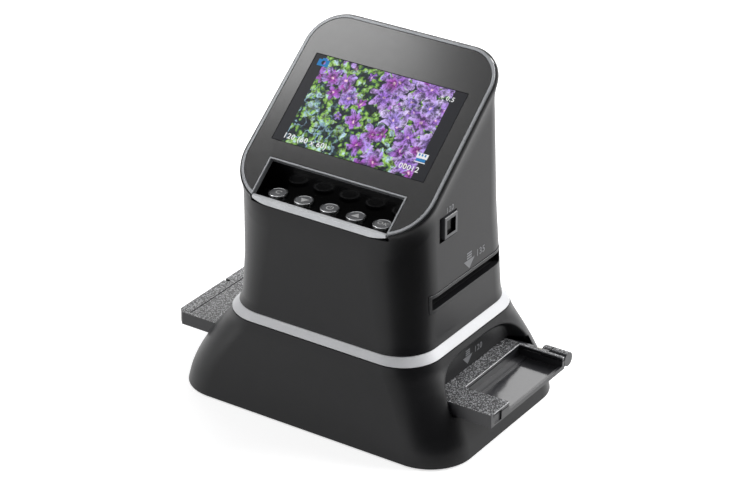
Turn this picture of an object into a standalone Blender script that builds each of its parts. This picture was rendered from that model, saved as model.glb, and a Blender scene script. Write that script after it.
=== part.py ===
"""Desktop film negative scanner: flared base, tapered tower, tilted colour screen.

Real sizes in metres, +Z up, the front faces -Y, the origin is on the table under
the middle. Roll film rides through the base in a holder, strip film goes through
the slot in the tower, and the camera inside the tower looks down on both.
"""

from math import atan2, cos, pi, radians, sin, tan

import bmesh
import bpy
from mathutils import Matrix, Vector

MM = 0.001

# Gaps between pieces and overruns of cutters
CLEARANCE = 0.3 * MM
OVERRUN = 4 * MM
CORNER_STEPS = 8
ROUND_STEPS = 24
SMALL_ROUND_STEPS = 16
MERGE_DISTANCE = 0.001 * MM
SMOOTH_ANGLE = radians(32)

# Base: a flared skirt under the light ring
BASE_HALF_X = 89 * MM
BASE_HALF_Y = 62.5 * MM
BASE_CORNER = 25.4 * MM
BASE_WALL = 2.4 * MM
BASE_TOP_HALF_X = 64.6 * MM
BASE_TOP_FRONT = -52.2 * MM
BASE_TOP_BACK = 57.2 * MM
BASE_TOP_CORNER = 23 * MM
FOOT_PROUD = 0.8 * MM
SKIRT_HEIGHT = 47.8 * MM
BASE_TOP_Z = FOOT_PROUD + SKIRT_HEIGHT
# Height share against the share of the full flare that is left there
FLARE_SHARES = ((0, 1), (0.07, 0.97), (0.2, 0.9), (0.36, 0.77), (0.53, 0.59),
                (0.68, 0.4), (0.8, 0.23), (0.91, 0.08), (1, 0))

# Feet, bottom plate and its screws
FOOT_RADIUS = 7 * MM
FOOT_THICKNESS = 1.1 * MM
FOOT_INSET_X = 23 * MM
FOOT_INSET_Y = 21.5 * MM
FOOT_EDGE = 0.3 * MM
PLATE_THICKNESS = 2.2 * MM
PLATE_BOTTOM_Z = FOOT_THICKNESS + CLEARANCE
PLATE_TOP_Z = PLATE_BOTTOM_Z + PLATE_THICKNESS
BOSS_RADIUS = 3.6 * MM
BOSS_X = 52 * MM
BOSS_BITE = 1.2 * MM
BOSS_CAP = 2 * MM
SCREW_RADIUS = 1.2 * MM
SCREW_LENGTH = 11 * MM
SCREW_HEAD_RADIUS = 2.7 * MM
SCREW_HEAD_THICKNESS = 1 * MM
SCREW_TIP_ROOM = 1 * MM
BOSS_TOP_Z = PLATE_BOTTOM_Z + SCREW_LENGTH + SCREW_TIP_ROOM + BOSS_CAP

# Light ring between base and tower
RING_HALF_X = 64.45 * MM
RING_FRONT = -52.1 * MM
RING_BACK = 57.1 * MM
RING_CORNER = 23 * MM
RING_TOP_HALF_X = 61.15 * MM
RING_TOP_FRONT = -49.9 * MM
RING_TOP_BACK = 54.2 * MM
RING_TOP_CORNER = 22.2 * MM
RING_HEIGHT = 4.7 * MM
RING_DEPTH = 5 * MM
RING_BOTTOM_Z = BASE_TOP_Z + CLEARANCE
RING_TOP_Z = RING_BOTTOM_Z + RING_HEIGHT

# Screen panel, tilted back, whose middle is the middle of the picture
TILT = radians(38.37)
SCREEN_Z = 160.3 * MM
HEAD_HALF_LOW = 60.3 * MM
HEAD_HALF_HIGH = 59.3 * MM
HEAD_LOW = -63.5 * MM
HEAD_HIGH = 54.8 * MM
HEAD_CORNER_LOW = 28 * MM
HEAD_CORNER_HIGH = 21.5 * MM
HEAD_EDGE = 1 * MM
HEAD_DROP = 0.7 * MM
RIM_INSET = 1.2 * MM
RIM_WIDTH = 1.7 * MM
RIM_THICKNESS = 3.2 * MM
RIM_EDGE = 0.5 * MM
SCREEN_PLATE_THICKNESS = 1.5 * MM
SCREEN_PLATE_GAP = 0.25 * MM
SCREEN_PLATE_DROP = 0.15 * MM
PICTURE_HALF_X = 47.5 * MM
PICTURE_HALF_Y = 26.9 * MM
PICTURE_DROP = 0.25 * MM
NOTCH_HALF_X = 42.1 * MM
NOTCH_TOP = -38 * MM
NOTCH_EDGE = 0.8 * MM
LCD_BODY_HALF_X = 51.5 * MM
LCD_BODY_HALF_Y = 30.3 * MM
LCD_BODY_THICKNESS = 4 * MM
LCD_FRAME_WALL = 1.5 * MM
LCD_FRAME_WINDOW_HALF_X = 40 * MM
LCD_FRAME_WINDOW_HALF_Y = 22 * MM

# Tower between light ring and screen
TOWER_WALL = 2.4 * MM
TOWER_FOOT_INSET = 0.3 * MM
TOWER_LOW_Z = 58 * MM
TOWER_HALF_LOW = 59.6 * MM
TOWER_HALF_MIDDLE = 59 * MM
TOWER_HALF_HIGH = 58.7 * MM
TOWER_FRONT_LOW = -48.3 * MM
TOWER_FRONT_HIGH = -48.9 * MM
TOWER_BACK_LOW = 53.4 * MM
TOWER_BACK_HIGH_Z = 180 * MM
TOWER_BACK_HIGH = 41.6 * MM
TOWER_FRONT_CORNER_LOW = 22 * MM
TOWER_FRONT_CORNER_HIGH = 29.5 * MM
TOWER_BACK_CORNER = 20.5 * MM
TOWER_MIDDLE_Z = 96 * MM
TOWER_MIDDLE_SLOPE_SHARE = 0.45
TOWER_NECK_DEPTH = 13 * MM
TOWER_FLARE_DEPTH = 6.5 * MM
TOWER_FLARE_SHARE = 0.35
TOWER_SCREW_LOW_Z = BASE_TOP_Z - BASE_WALL - CLEARANCE - SCREW_HEAD_THICKNESS
TOWER_BOSS_TOP_Z = TOWER_SCREW_LOW_Z + SCREW_LENGTH + SCREW_TIP_ROOM + BOSS_CAP
TOWER_RIB = 1.4 * MM

# Strip film slot through the tower
SLOT_FRONT = -29 * MM
SLOT_BACK = 38 * MM
SLOT_BOTTOM_Z = 75.8 * MM
SLOT_HEIGHT = 6.4 * MM
SLOT_RIDGE = 1.9 * MM
SLOT_FRAME_PROUD = 0.3 * MM
SLOT_FRAME_DEPTH = 3.4 * MM
SLOT_FRAME_EDGE = 0.4 * MM
TUNNEL_WALL = 1.5 * MM
GATE_HALF = 29 * MM

# Camera column on the optical axis
OPTIC_Y = 3.5 * MM
SHAFT_WALL = 1.5 * MM
SHAFT_CORNER = 4 * MM
LOWER_SHAFT_BOTTOM_HALF = 36 * MM
LOWER_SHAFT_TOP_HALF = 31.5 * MM
UPPER_SHAFT_BOTTOM_HALF = 31 * MM
UPPER_SHAFT_TOP_HALF = 12 * MM
UPPER_SHAFT_HEIGHT = 27 * MM
LENS_MOUNT_HALF = 15 * MM
LENS_MOUNT_THICKNESS = 2 * MM
LENS_RADIUS = 6.5 * MM
LENS_BELOW = 9 * MM
LENS_ABOVE = 6 * MM
LENS_FLANGE_RADIUS = 9 * MM
LENS_FLANGE_THICKNESS = 2 * MM
LENS_MOUTH_RADIUS = 4.5 * MM
LENS_MOUTH_DEPTH = 2 * MM
BOARD_THICKNESS = 1.6 * MM
SENSOR_HALF_X = 17 * MM
SENSOR_HALF_Y = 14 * MM

# Keys in the pocket under the screen
SHELF_Z = 120.8 * MM
SHELF_THICKNESS = 1.8 * MM
POCKET_BACK = -27.2 * MM
POCKET_FRONT = -45.2 * MM
POCKET_WALL = 1.2 * MM
POCKET_HALF_X = 41.7 * MM
KEY_PITCH = 16.4 * MM
KEY_Y = -36.4 * MM
KEY_RADIUS = 5.25 * MM
KEY_PROUD = 1.3 * MM
KEY_EDGE = 0.5 * MM
KEY_DISH = 0.25 * MM
KEY_DISH_RADIUS = 4.2 * MM
KEY_FLANGE_RADIUS = 6.2 * MM
KEY_FLANGE_THICKNESS = 1 * MM
KEY_STEM_RADIUS = 1.5 * MM
KEY_STEM_LENGTH = 1.5 * MM
KEY_TRAVEL = 0.8 * MM
KEY_NAMES = ("menu_button", "down_button", "power_button", "up_button", "ok_button")
SWITCH_SIZE = 6 * MM
SWITCH_HEIGHT = 3.4 * MM
KEY_BOARD_HALF_X = 40 * MM
KEY_BOARD_FRONT = -44.5 * MM
KEY_BOARD_BACK = -28 * MM
PEG_RADIUS = 1.7 * MM
PEG_Y = -30 * MM
LIP_HALF_X = 41.9 * MM
LIP_TOP_Z = 122.6 * MM
LIP_BOTTOM_Z = 119.4 * MM
LIP_EDGE = 1 * MM

# Format selector on the right side
SELECTOR_Z = 118.8 * MM
SELECTOR_OPEN_FRONT = -22.7 * MM
SELECTOR_OPEN_BACK = -6.4 * MM
SELECTOR_OPEN_HALF_Z = 7.1 * MM
SELECTOR_KNOB = 12.5 * MM
SELECTOR_PROUD = 0.8 * MM
SELECTOR_DEPTH = 4.8 * MM
SELECTOR_PROUD_X = TOWER_HALF_MIDDLE + SELECTOR_PROUD
SELECTOR_INNER_X = SELECTOR_PROUD_X - SELECTOR_DEPTH
SELECTOR_EDGE = 0.6 * MM
SELECTOR_DISH = 7.6 * MM
SELECTOR_DISH_DEPTH = 1.6 * MM
CARRIAGE_LENGTH = 18.5 * MM
CARRIAGE_HEIGHT = 17 * MM
CARRIAGE_THICKNESS = 1.8 * MM
GUIDE_WALL = 1.6 * MM
GUIDE_FRONT = -25.8 * MM
GUIDE_BACK = -1 * MM

# Main board and sockets at the back
MAIN_BOARD_Y = 37.6 * MM
MAIN_BOARD_HALF_X = 38 * MM
MAIN_BOARD_BOTTOM_Z = 86 * MM
MAIN_BOARD_TOP_Z = 140 * MM
STANDOFF_RADIUS = 2.6 * MM
STANDOFF_X = 31 * MM
STANDOFF_LOW_Z = 106 * MM
STANDOFF_HIGH_Z = 133 * MM
SOCKET_Z = 94 * MM
USB_X = -20 * MM
USB_WIDTH = 9.2 * MM
USB_HEIGHT = 3.6 * MM
USB_WALL = 0.5 * MM
USB_DEPTH = 7 * MM
CARD_X = 12 * MM
CARD_WIDTH = 26.5 * MM
CARD_HEIGHT = 4 * MM
CARD_WALL = 0.7 * MM
CARD_DEPTH = 9 * MM

# Roll film holder through the base
HOLDER_HALF_X = 101.5 * MM
HOLDER_FRONT = -38 * MM
HOLDER_BACK = 41.5 * MM
HOLDER_BOTTOM_Z = 23.5 * MM
HOLDER_THICKNESS = 7.5 * MM
HOLDER_TOP_Z = HOLDER_BOTTOM_Z + HOLDER_THICKNESS
HOLDER_CHAMFER = 4.5 * MM
LID_THICKNESS = 2 * MM
LID_BORDER = 7.6 * MM
LID_FRONT_BORDER = 2.4 * MM
NAIL_NOTCH_Y = 5.8 * MM
NAIL_NOTCH_LENGTH = 3.6 * MM
NAIL_NOTCH_WIDTH = 2 * MM
NAIL_NOTCH_DEPTH = 1.2 * MM
FILM_CHANNEL_HALF = 30.9 * MM
FILM_CHANNEL_DEPTH = 0.5 * MM
FILM_CHANNEL_END = 8 * MM
FRAME_HALF = 28 * MM
WELL_INNER_X = 74.5 * MM
WELL_FRONT = -20 * MM
WELL_BACK = 34.6 * MM
WELL_FLOOR = 1.3 * MM
WELL_RIM = 1 * MM
WELL_RIM_WIDTH = 1.6 * MM
WELL_STEP = 0.6 * MM
WELL_STEP_INSET = 5 * MM
GRIP_WIDTH = 7 * MM
GRIP_INSET_Y = 3.2 * MM
GRIP_INSET_Z = 0.8 * MM
GRIP_DEPTH = 0.8 * MM
HINGE_Y = 41 * MM
HINGE_RADIUS = 4 * MM
HINGE_Z = HOLDER_BOTTOM_Z + HOLDER_THICKNESS / 2
PIN_RADIUS = 1.4 * MM
PIN_SUNK = 2.4 * MM
WALL_STEP = 0.5 * MM
KNUCKLE_LENGTH = 9.5 * MM
LID_KNUCKLE_LENGTH = 5 * MM
KNUCKLE_GAP = 0.5 * MM
HOLDER_SLOT_CLEARANCE = 0.4 * MM

# Arched pocket over the holder, one on each side of the base
ARCH_X = 65 * MM
ARCH_Y = 3 * MM
ARCH_HALF_Y = 38 * MM
ARCH_TOP_Z = 45.4 * MM
ARCH_POWER = 2.4
ARCH_STEPS = 24
ARCH_FILLET = 2.5 * MM
ARCH_FILLET_SHARES = ((0, 1), (0.33, 0.25), (1, 0))
ARCH_DRAFT = 1.6 * MM

# Backlight under the holder
LAMP_HALF = 34 * MM
LAMP_WALL = 1.5 * MM
LED_HALF = 31 * MM
LED_SIZE = 5 * MM
LED_HEIGHT = 1.5 * MM
LED_PITCH = 18 * MM
DIFFUSER_THICKNESS = 1.8 * MM
DIFFUSER_TOP_Z = HOLDER_BOTTOM_Z - CLEARANCE


def clear_scene():
    for item in list(bpy.data.objects):
        bpy.data.objects.remove(item, do_unlink=True)


def new_collection(name):
    group = bpy.data.collections.new(name)
    bpy.context.scene.collection.children.link(group)
    return group


def material(name, colour, roughness, metallic=0.0, alpha=1.0):
    made = bpy.data.materials.new(name)
    made.use_nodes = True
    shader = made.node_tree.nodes["Principled BSDF"]
    shader.inputs["Base Color"].default_value = (*colour, 1.0)
    shader.inputs["Roughness"].default_value = roughness
    shader.inputs["Metallic"].default_value = metallic
    shader.inputs["Alpha"].default_value = alpha
    return made


def finish_mesh(name, mesh_data, finish=None, parent=None):
    """Turn a bmesh into an object; one without a finish is a cutter."""
    mesh = bpy.data.meshes.new(name)
    mesh_data.to_mesh(mesh)
    mesh_data.free()
    item = bpy.data.objects.new(name, mesh)
    if finish is None:
        CUTTERS.objects.link(item)
        item.hide_render = True
        item.display_type = "WIRE"
    else:
        PARTS.objects.link(item)
        mesh.materials.append(finish)
        mesh.shade_smooth()
        mesh.set_sharp_from_angle(angle=SMOOTH_ANGLE)
    item.parent = parent
    return item


def slab(name, x_span, y_span, z_span, finish=None, parent=None):
    """A box between two corners, with its origin in its middle."""
    spans = (x_span, y_span, z_span)
    size = [high - low for low, high in spans]
    mesh_data = bmesh.new()
    bmesh.ops.create_cube(mesh_data, size=1, matrix=Matrix.Diagonal((*size, 1)))
    item = finish_mesh(name, mesh_data, finish, parent)
    item.location = [(low + high) / 2 for low, high in spans]
    return item


def rib(name, start, end, thickness, z_span):
    """An upright cutter slab between two places of the plan."""
    run = Vector(end) - Vector(start)
    item = slab(name, (0, run.length), (0, thickness), z_span)
    item.location.xy = (Vector(start) + Vector(end)) / 2
    item.rotation_euler.z = atan2(run.y, run.x)
    return item


def rod(name, radius, low, high, finish=None, steps=SMALL_ROUND_STEPS):
    """A cylinder between two points."""
    axis = Vector(high) - Vector(low)
    mesh_data = bmesh.new()
    bmesh.ops.create_cone(mesh_data, cap_ends=True, segments=steps,
                          radius1=radius, radius2=radius, depth=axis.length)
    item = finish_mesh(name, mesh_data, finish)
    item.location = (Vector(low) + Vector(high)) / 2
    item.rotation_euler = axis.to_track_quat("Z", "Y").to_euler()
    return item


def turned(name, profile, place, finish, steps=ROUND_STEPS):
    """A profile of radius and height, read from the top down, turned about Z."""
    mesh_data = bmesh.new()
    corners = [mesh_data.verts.new((radius, 0, height)) for radius, height in profile]
    for upper, lower in zip(corners, corners[1:]):
        mesh_data.edges.new((upper, lower))
    item = finish_mesh(name, mesh_data, finish)
    item.location = place
    spin = item.modifiers.new("turn", "SCREW")
    spin.steps = steps
    spin.render_steps = steps
    spin.use_merge_vertices = True
    spin.merge_threshold = MERGE_DISTANCE
    spin.use_smooth_shade = True
    return item


def corner(x, y, radius, start_turns):
    """Points of a quarter circle, started at a number of quarter turns."""
    turns = [start_turns + step / CORNER_STEPS for step in range(CORNER_STEPS + 1)]
    return [(x + radius * cos(turn * pi / 2), y + radius * sin(turn * pi / 2)) for turn in turns]


def outline(half_front, half_back, front, back, front_corner, back_corner):
    """A rounded plan, wider or narrower at the back, anticlockwise from the right."""
    right_back = corner(half_back - back_corner, back - back_corner, back_corner, 0)
    right_front = corner(half_front - front_corner, front + front_corner, front_corner, 3)
    left_back = [(-x, y) for x, y in reversed(right_back)]
    left_front = [(-x, y) for x, y in reversed(right_front)]
    return right_back + left_back + left_front + right_front


def square_outline(half, centre_y, radius):
    return outline(half, half, centre_y - half, centre_y + half, radius, radius)


def level(points, height):
    return [Vector((x, y, height)) for x, y in points]


def slanted(points, height, slope):
    return [Vector((x, y, height + slope * y)) for x, y in points]


def on_panel(points, depth):
    """Points of the screen's plane, sunk square to it by a depth."""
    return [Vector((x, y * cos(TILT) + depth * sin(TILT),
                    SCREEN_Z + y * sin(TILT) - depth * cos(TILT))) for x, y in points]


def loft(name, sections, finish=None, ring=False):
    """Skin a row of like sections; a ring joins the last one to the first."""
    mesh_data = bmesh.new()
    rows = [[mesh_data.verts.new(point) for point in section] for section in sections]
    pairs = list(zip(rows, rows[1:]))
    if ring:
        pairs.append((rows[-1], rows[0]))
    else:
        mesh_data.faces.new(list(reversed(rows[0])))
        mesh_data.faces.new(rows[-1])
    for lower, upper in pairs:
        for index in range(len(lower)):
            after = (index + 1) % len(lower)
            mesh_data.faces.new((lower[index], lower[after], upper[after], upper[index]))
    bmesh.ops.recalc_face_normals(mesh_data, faces=mesh_data.faces)
    return finish_mesh(name, mesh_data, finish)


def flat_plate(name, outlines, low, high, finish=None, parent=None):
    """A plate of outer and inner outlines, between two heights along its own Z."""
    drawing = bpy.data.curves.new(name, "CURVE")
    drawing.dimensions = "2D"
    drawing.fill_mode = "BOTH"
    drawing.extrude = (high - low) / 2
    for points in outlines:
        line = drawing.splines.new("POLY")
        line.points.add(len(points) - 1)
        for spot, (x, y) in zip(line.points, points):
            spot.co = (x, y, 0, 1)
        line.use_cyclic_u = True
    sketch = bpy.data.objects.new(name + "_sketch", drawing)
    bpy.context.scene.collection.objects.link(sketch)
    bpy.context.view_layer.update()
    flat = bpy.data.meshes.new_from_object(sketch.evaluated_get(bpy.context.evaluated_depsgraph_get()))
    bpy.data.objects.remove(sketch, do_unlink=True)
    mesh_data = bmesh.new()
    mesh_data.from_mesh(flat)
    bmesh.ops.remove_doubles(mesh_data, verts=mesh_data.verts, dist=MERGE_DISTANCE)
    bmesh.ops.recalc_face_normals(mesh_data, faces=mesh_data.faces)
    item = finish_mesh(name, mesh_data, finish, parent)
    item.location.z = (low + high) / 2
    return item


def boolean(target, tool, operation):
    change = target.modifiers.new(tool.name, "BOOLEAN")
    change.operation = operation
    change.object = tool
    return target


def cut(target, *tools):
    for tool in tools:
        boolean(target, tool, "DIFFERENCE")
    return target


def weld_on(target, *tools):
    for tool in tools:
        boolean(target, tool, "UNION")
    return target


def soften(target, width, segments=2):
    edge = target.modifiers.new("soft_edges", "BEVEL")
    edge.width = width
    edge.segments = segments
    edge.limit_method = "ANGLE"
    edge.angle_limit = SMOOTH_ANGLE
    edge.harden_normals = False
    return target


def between(low, high, share):
    return low + (high - low) * share


def base_outline(flare, inset=0.0):
    """The skirt's plan where a share of its flare is left, drawn in by an inset."""
    return outline(
        between(BASE_TOP_HALF_X, BASE_HALF_X, flare) - inset,
        between(BASE_TOP_HALF_X, BASE_HALF_X, flare) - inset,
        between(BASE_TOP_FRONT, -BASE_HALF_Y, flare) + inset,
        between(BASE_TOP_BACK, BASE_HALF_Y, flare) - inset,
        between(BASE_TOP_CORNER, BASE_CORNER, flare) - inset,
        between(BASE_TOP_CORNER, BASE_CORNER, flare) - inset)


def base_sections(inset, drop):
    return [level(base_outline(flare, inset), FOOT_PROUD + share * (SKIRT_HEIGHT - drop))
            for share, flare in FLARE_SHARES]


def flare_at(height):
    """The share of the skirt's full flare that is left at a height."""
    share = (height - FOOT_PROUD) / SKIRT_HEIGHT
    for (low, low_flare), (high, high_flare) in zip(FLARE_SHARES, FLARE_SHARES[1:]):
        if share <= high:
            return between(low_flare, high_flare, (share - low) / (high - low))
    return 0


def corner_point(half, edge, radius, inset):
    """Where a rounded plan's front or back corner bulges most, drawn in by an inset."""
    reach = radius - (radius - inset) * cos(pi / 4)
    return half - reach, edge - reach if edge > 0 else edge + reach


def arch_section(x, grow):
    """The arched pocket's outline at one depth, grown by a margin."""
    points = []
    for step in range(ARCH_STEPS + 1):
        angle = pi * step / ARCH_STEPS
        across = abs(cos(angle)) ** (2 / ARCH_POWER)
        rise = abs(sin(angle)) ** (2 / ARCH_POWER)
        side = 1 if cos(angle) >= 0 else -1
        points.append(Vector((x, ARCH_Y + side * across * (ARCH_HALF_Y + grow),
                              HOLDER_BOTTOM_Z + rise * (ARCH_TOP_Z - HOLDER_BOTTOM_Z + grow))))
    return points


def mirrored(section, side):
    return [Vector((side * point.x, point.y, point.z)) for point in section]


def back_y(height):
    """The tower's back wall, which leans forward as it rises."""
    share = (height - TOWER_LOW_Z) / (TOWER_BACK_HIGH_Z - TOWER_LOW_Z)
    return between(TOWER_BACK_LOW, TOWER_BACK_HIGH, share)


def make_base():
    housing = loft("base_housing", base_sections(0, 0), CHARCOAL)
    hollow_sections = base_sections(BASE_WALL, BASE_WALL)
    mouth = [point - Vector((0, 0, OVERRUN)) for point in hollow_sections[0]]
    hollow = loft("base_hollow", [mouth, *hollow_sections])
    for side, name in ((-1, "left"), (1, "right")):
        backing = loft("arch_backing_" + name, [mirrored(arch_section(x, BASE_WALL), side)
                       for x in (ARCH_X - BASE_WALL, BASE_HALF_X + OVERRUN)])
        cut(hollow, backing)
    cut(housing, hollow)
    head_room = PLATE_BOTTOM_Z + SCREW_HEAD_THICKNESS + CLEARANCE
    for index, (x, y) in enumerate(boss_places()):
        boss = rod(f"boss_{index}", BOSS_RADIUS, (x, y, PLATE_TOP_Z + CLEARANCE), (x, y, BOSS_TOP_Z))
        weld_on(housing, boss)
        cut(housing, screw_room(f"boss_bore_{index}", SCREW_RADIUS, x, y, 0, BOSS_TOP_Z - BOSS_CAP),
            screw_room(f"boss_head_room_{index}", SCREW_HEAD_RADIUS, x, y, 0, head_room))
    deck_z = BASE_TOP_Z - BASE_WALL
    for index, (x, y) in enumerate(tower_boss_places()):
        cut(housing, screw_room(f"deck_bore_{index}", SCREW_RADIUS, x, y, TOWER_SCREW_LOW_Z,
                                BASE_TOP_Z + OVERRUN),
            screw_room(f"deck_head_room_{index}", SCREW_HEAD_RADIUS, x, y, TOWER_SCREW_LOW_Z - CLEARANCE,
                       deck_z))
    for side, name in ((-1, "left"), (1, "right")):
        stations = [(ARCH_X + ARCH_FILLET * along, -ARCH_FILLET * drawn)
                    for along, drawn in ARCH_FILLET_SHARES]
        stations.append((BASE_HALF_X + OVERRUN, ARCH_DRAFT))
        cut(housing, loft("arch_pocket_" + name, [mirrored(arch_section(x, grow), side)
                                                  for x, grow in stations]))
    passage = slab("holder_passage", (-BASE_HALF_X - OVERRUN, BASE_HALF_X + OVERRUN),
                   (HOLDER_FRONT - HOLDER_SLOT_CLEARANCE, HINGE_Y + HINGE_RADIUS + HOLDER_SLOT_CLEARANCE),
                   (HINGE_Z - HINGE_RADIUS - HOLDER_SLOT_CLEARANCE,
                    HINGE_Z + HINGE_RADIUS + HOLDER_SLOT_CLEARANCE))
    deck_half = LOWER_SHAFT_BOTTOM_HALF - SHAFT_WALL
    deck_hole = slab("deck_hole", (-deck_half, deck_half), (OPTIC_Y - deck_half, OPTIC_Y + deck_half),
                     (BASE_TOP_Z - BASE_WALL - OVERRUN, BASE_TOP_Z + OVERRUN))
    cut(housing, passage, deck_hole)


def boss_places():
    """The bottom plate's screws, each in a boss that bites into the skirt."""
    flare = flare_at(BOSS_TOP_Z)
    seat = BASE_WALL + BOSS_RADIUS - BOSS_BITE
    front = between(BASE_TOP_FRONT, -BASE_HALF_Y, flare) + seat
    back = between(BASE_TOP_BACK, BASE_HALF_Y, flare) - seat
    return [(side * BOSS_X, y) for y in (front, back) for side in (-1, 1)]


def tower_boss_places():
    """The tower's screws, in bosses that stand inside the light ring's corners."""
    inset = RING_DEPTH + CLEARANCE + BOSS_RADIUS
    corners = [corner_point(RING_TOP_HALF_X, edge, RING_TOP_CORNER, inset)
               for edge in (RING_TOP_FRONT, RING_TOP_BACK)]
    return [(side * x, y) for x, y in corners for side in (-1, 1)]


def screw_room(name, radius, x, y, low, high):
    """A cutter that leaves a screw its clearance all round."""
    return rod(name, radius + CLEARANCE, (x, y, low), (x, y, high))


def screw(name, place):
    turned(name, [(0, SCREW_LENGTH), (SCREW_RADIUS, SCREW_LENGTH), (SCREW_RADIUS, SCREW_HEAD_THICKNESS),
                  (SCREW_HEAD_RADIUS, SCREW_HEAD_THICKNESS), (SCREW_HEAD_RADIUS, 0), (0, 0)],
           place, STEEL, SMALL_ROUND_STEPS)


def make_bottom():
    plan = base_outline(FLARE_SHARES[1][1], BASE_WALL + CLEARANCE)
    plate = flat_plate("bottom_plate", [plan], PLATE_BOTTOM_Z, PLATE_TOP_Z, BLACK)
    head_room = PLATE_BOTTOM_Z + SCREW_HEAD_THICKNESS + CLEARANCE
    for index, (x, y) in enumerate(boss_places()):
        cut(plate, screw_room(f"screw_hole_{index}", SCREW_RADIUS, x, y, 0, PLATE_TOP_Z + OVERRUN),
            screw_room(f"head_hole_{index}", SCREW_HEAD_RADIUS, x, y, 0, head_room))
        screw(f"screw_{index + 1}", (x, y, PLATE_BOTTOM_Z))
    for index, (x, y) in enumerate(tower_boss_places()):
        screw(f"tower_screw_{index + 1}", (x, y, TOWER_SCREW_LOW_Z))
    foot_x = BASE_HALF_X - FOOT_INSET_X
    foot_y = BASE_HALF_Y - FOOT_INSET_Y
    for depth, y in (("front", -foot_y), ("rear", foot_y)):
        for side, x in (("left", -foot_x), ("right", foot_x)):
            turned(f"foot_{depth}_{side}", [(0, FOOT_THICKNESS), (FOOT_RADIUS, FOOT_THICKNESS),
                   (FOOT_RADIUS, FOOT_EDGE), (FOOT_RADIUS - FOOT_EDGE, 0), (0, 0)], (x, y, 0), RUBBER)


def make_ring():
    low = (RING_HALF_X, RING_HALF_X, RING_FRONT, RING_BACK, RING_CORNER, RING_CORNER)
    high = (RING_TOP_HALF_X, RING_TOP_HALF_X, RING_TOP_FRONT, RING_TOP_BACK,
            RING_TOP_CORNER, RING_TOP_CORNER)
    inner_half = RING_TOP_HALF_X - RING_DEPTH
    inner_corner = RING_TOP_CORNER - RING_DEPTH
    inner = outline(inner_half, inner_half, RING_TOP_FRONT + RING_DEPTH, RING_TOP_BACK - RING_DEPTH,
                    inner_corner, inner_corner)
    loft("light_ring", [level(outline(*low), RING_BOTTOM_Z), level(outline(*high), RING_TOP_Z),
                        level(inner, RING_TOP_Z), level(inner, RING_BOTTOM_Z)], MILKY, ring=True)


def head_outline(inset):
    """The screen head's outline in the plane of the screen."""
    return outline(HEAD_HALF_LOW - inset, HEAD_HALF_HIGH - inset, HEAD_LOW + inset, HEAD_HIGH - inset,
                   HEAD_CORNER_LOW - inset, HEAD_CORNER_HIGH - inset)


def neck_outline(inset):
    """The tower's plan just under the flared head, as points of the screen's plane."""
    depth_shift = TOWER_NECK_DEPTH * sin(TILT)
    front = (TOWER_FRONT_HIGH - depth_shift) / cos(TILT)
    neck_back_z = SCREEN_Z + HEAD_HIGH * sin(TILT) - TOWER_NECK_DEPTH * cos(TILT)
    back = (back_y(neck_back_z) - depth_shift) / cos(TILT)
    return outline(TOWER_HALF_HIGH - inset, TOWER_HALF_HIGH - inset, front + inset, back - inset,
                   TOWER_FRONT_CORNER_HIGH - inset, TOWER_BACK_CORNER - inset)


def blend(first, second, share):
    return [(between(x, other_x, share), between(y, other_y, share))
            for (x, y), (other_x, other_y) in zip(first, second)]


def tower_sections(inset):
    foot_half = RING_TOP_HALF_X - TOWER_FOOT_INSET - inset
    foot_corner = RING_TOP_CORNER - TOWER_FOOT_INSET - inset
    foot = outline(foot_half, foot_half, RING_TOP_FRONT + TOWER_FOOT_INSET + inset,
                   RING_TOP_BACK - TOWER_FOOT_INSET - inset, foot_corner, foot_corner)
    low = outline(TOWER_HALF_LOW - inset, TOWER_HALF_LOW - inset, TOWER_FRONT_LOW + inset,
                  TOWER_BACK_LOW - inset, TOWER_FRONT_CORNER_LOW - inset, TOWER_BACK_CORNER - inset)
    slope = tan(TILT) * TOWER_MIDDLE_SLOPE_SHARE
    middle_back = back_y(TOWER_MIDDLE_Z + slope * TOWER_BACK_LOW)
    middle_corner = between(TOWER_FRONT_CORNER_LOW, TOWER_FRONT_CORNER_HIGH, TOWER_MIDDLE_SLOPE_SHARE)
    middle_front = between(TOWER_FRONT_LOW, TOWER_FRONT_HIGH, TOWER_MIDDLE_SLOPE_SHARE)
    middle = outline(TOWER_HALF_MIDDLE - inset, TOWER_HALF_MIDDLE - inset, middle_front + inset,
                     middle_back - inset, middle_corner - inset, TOWER_BACK_CORNER - inset)
    neck = neck_outline(inset)
    flare = blend(neck, head_outline(inset), TOWER_FLARE_SHARE)
    return [level(foot, RING_TOP_Z + CLEARANCE), level(low, TOWER_LOW_Z),
            slanted(middle, TOWER_MIDDLE_Z, slope), on_panel(neck, TOWER_NECK_DEPTH),
            on_panel(flare, TOWER_FLARE_DEPTH), on_panel(head_outline(inset), HEAD_DROP + 2 * HEAD_EDGE),
            on_panel(head_outline(inset), HEAD_DROP + HEAD_EDGE)]


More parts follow.
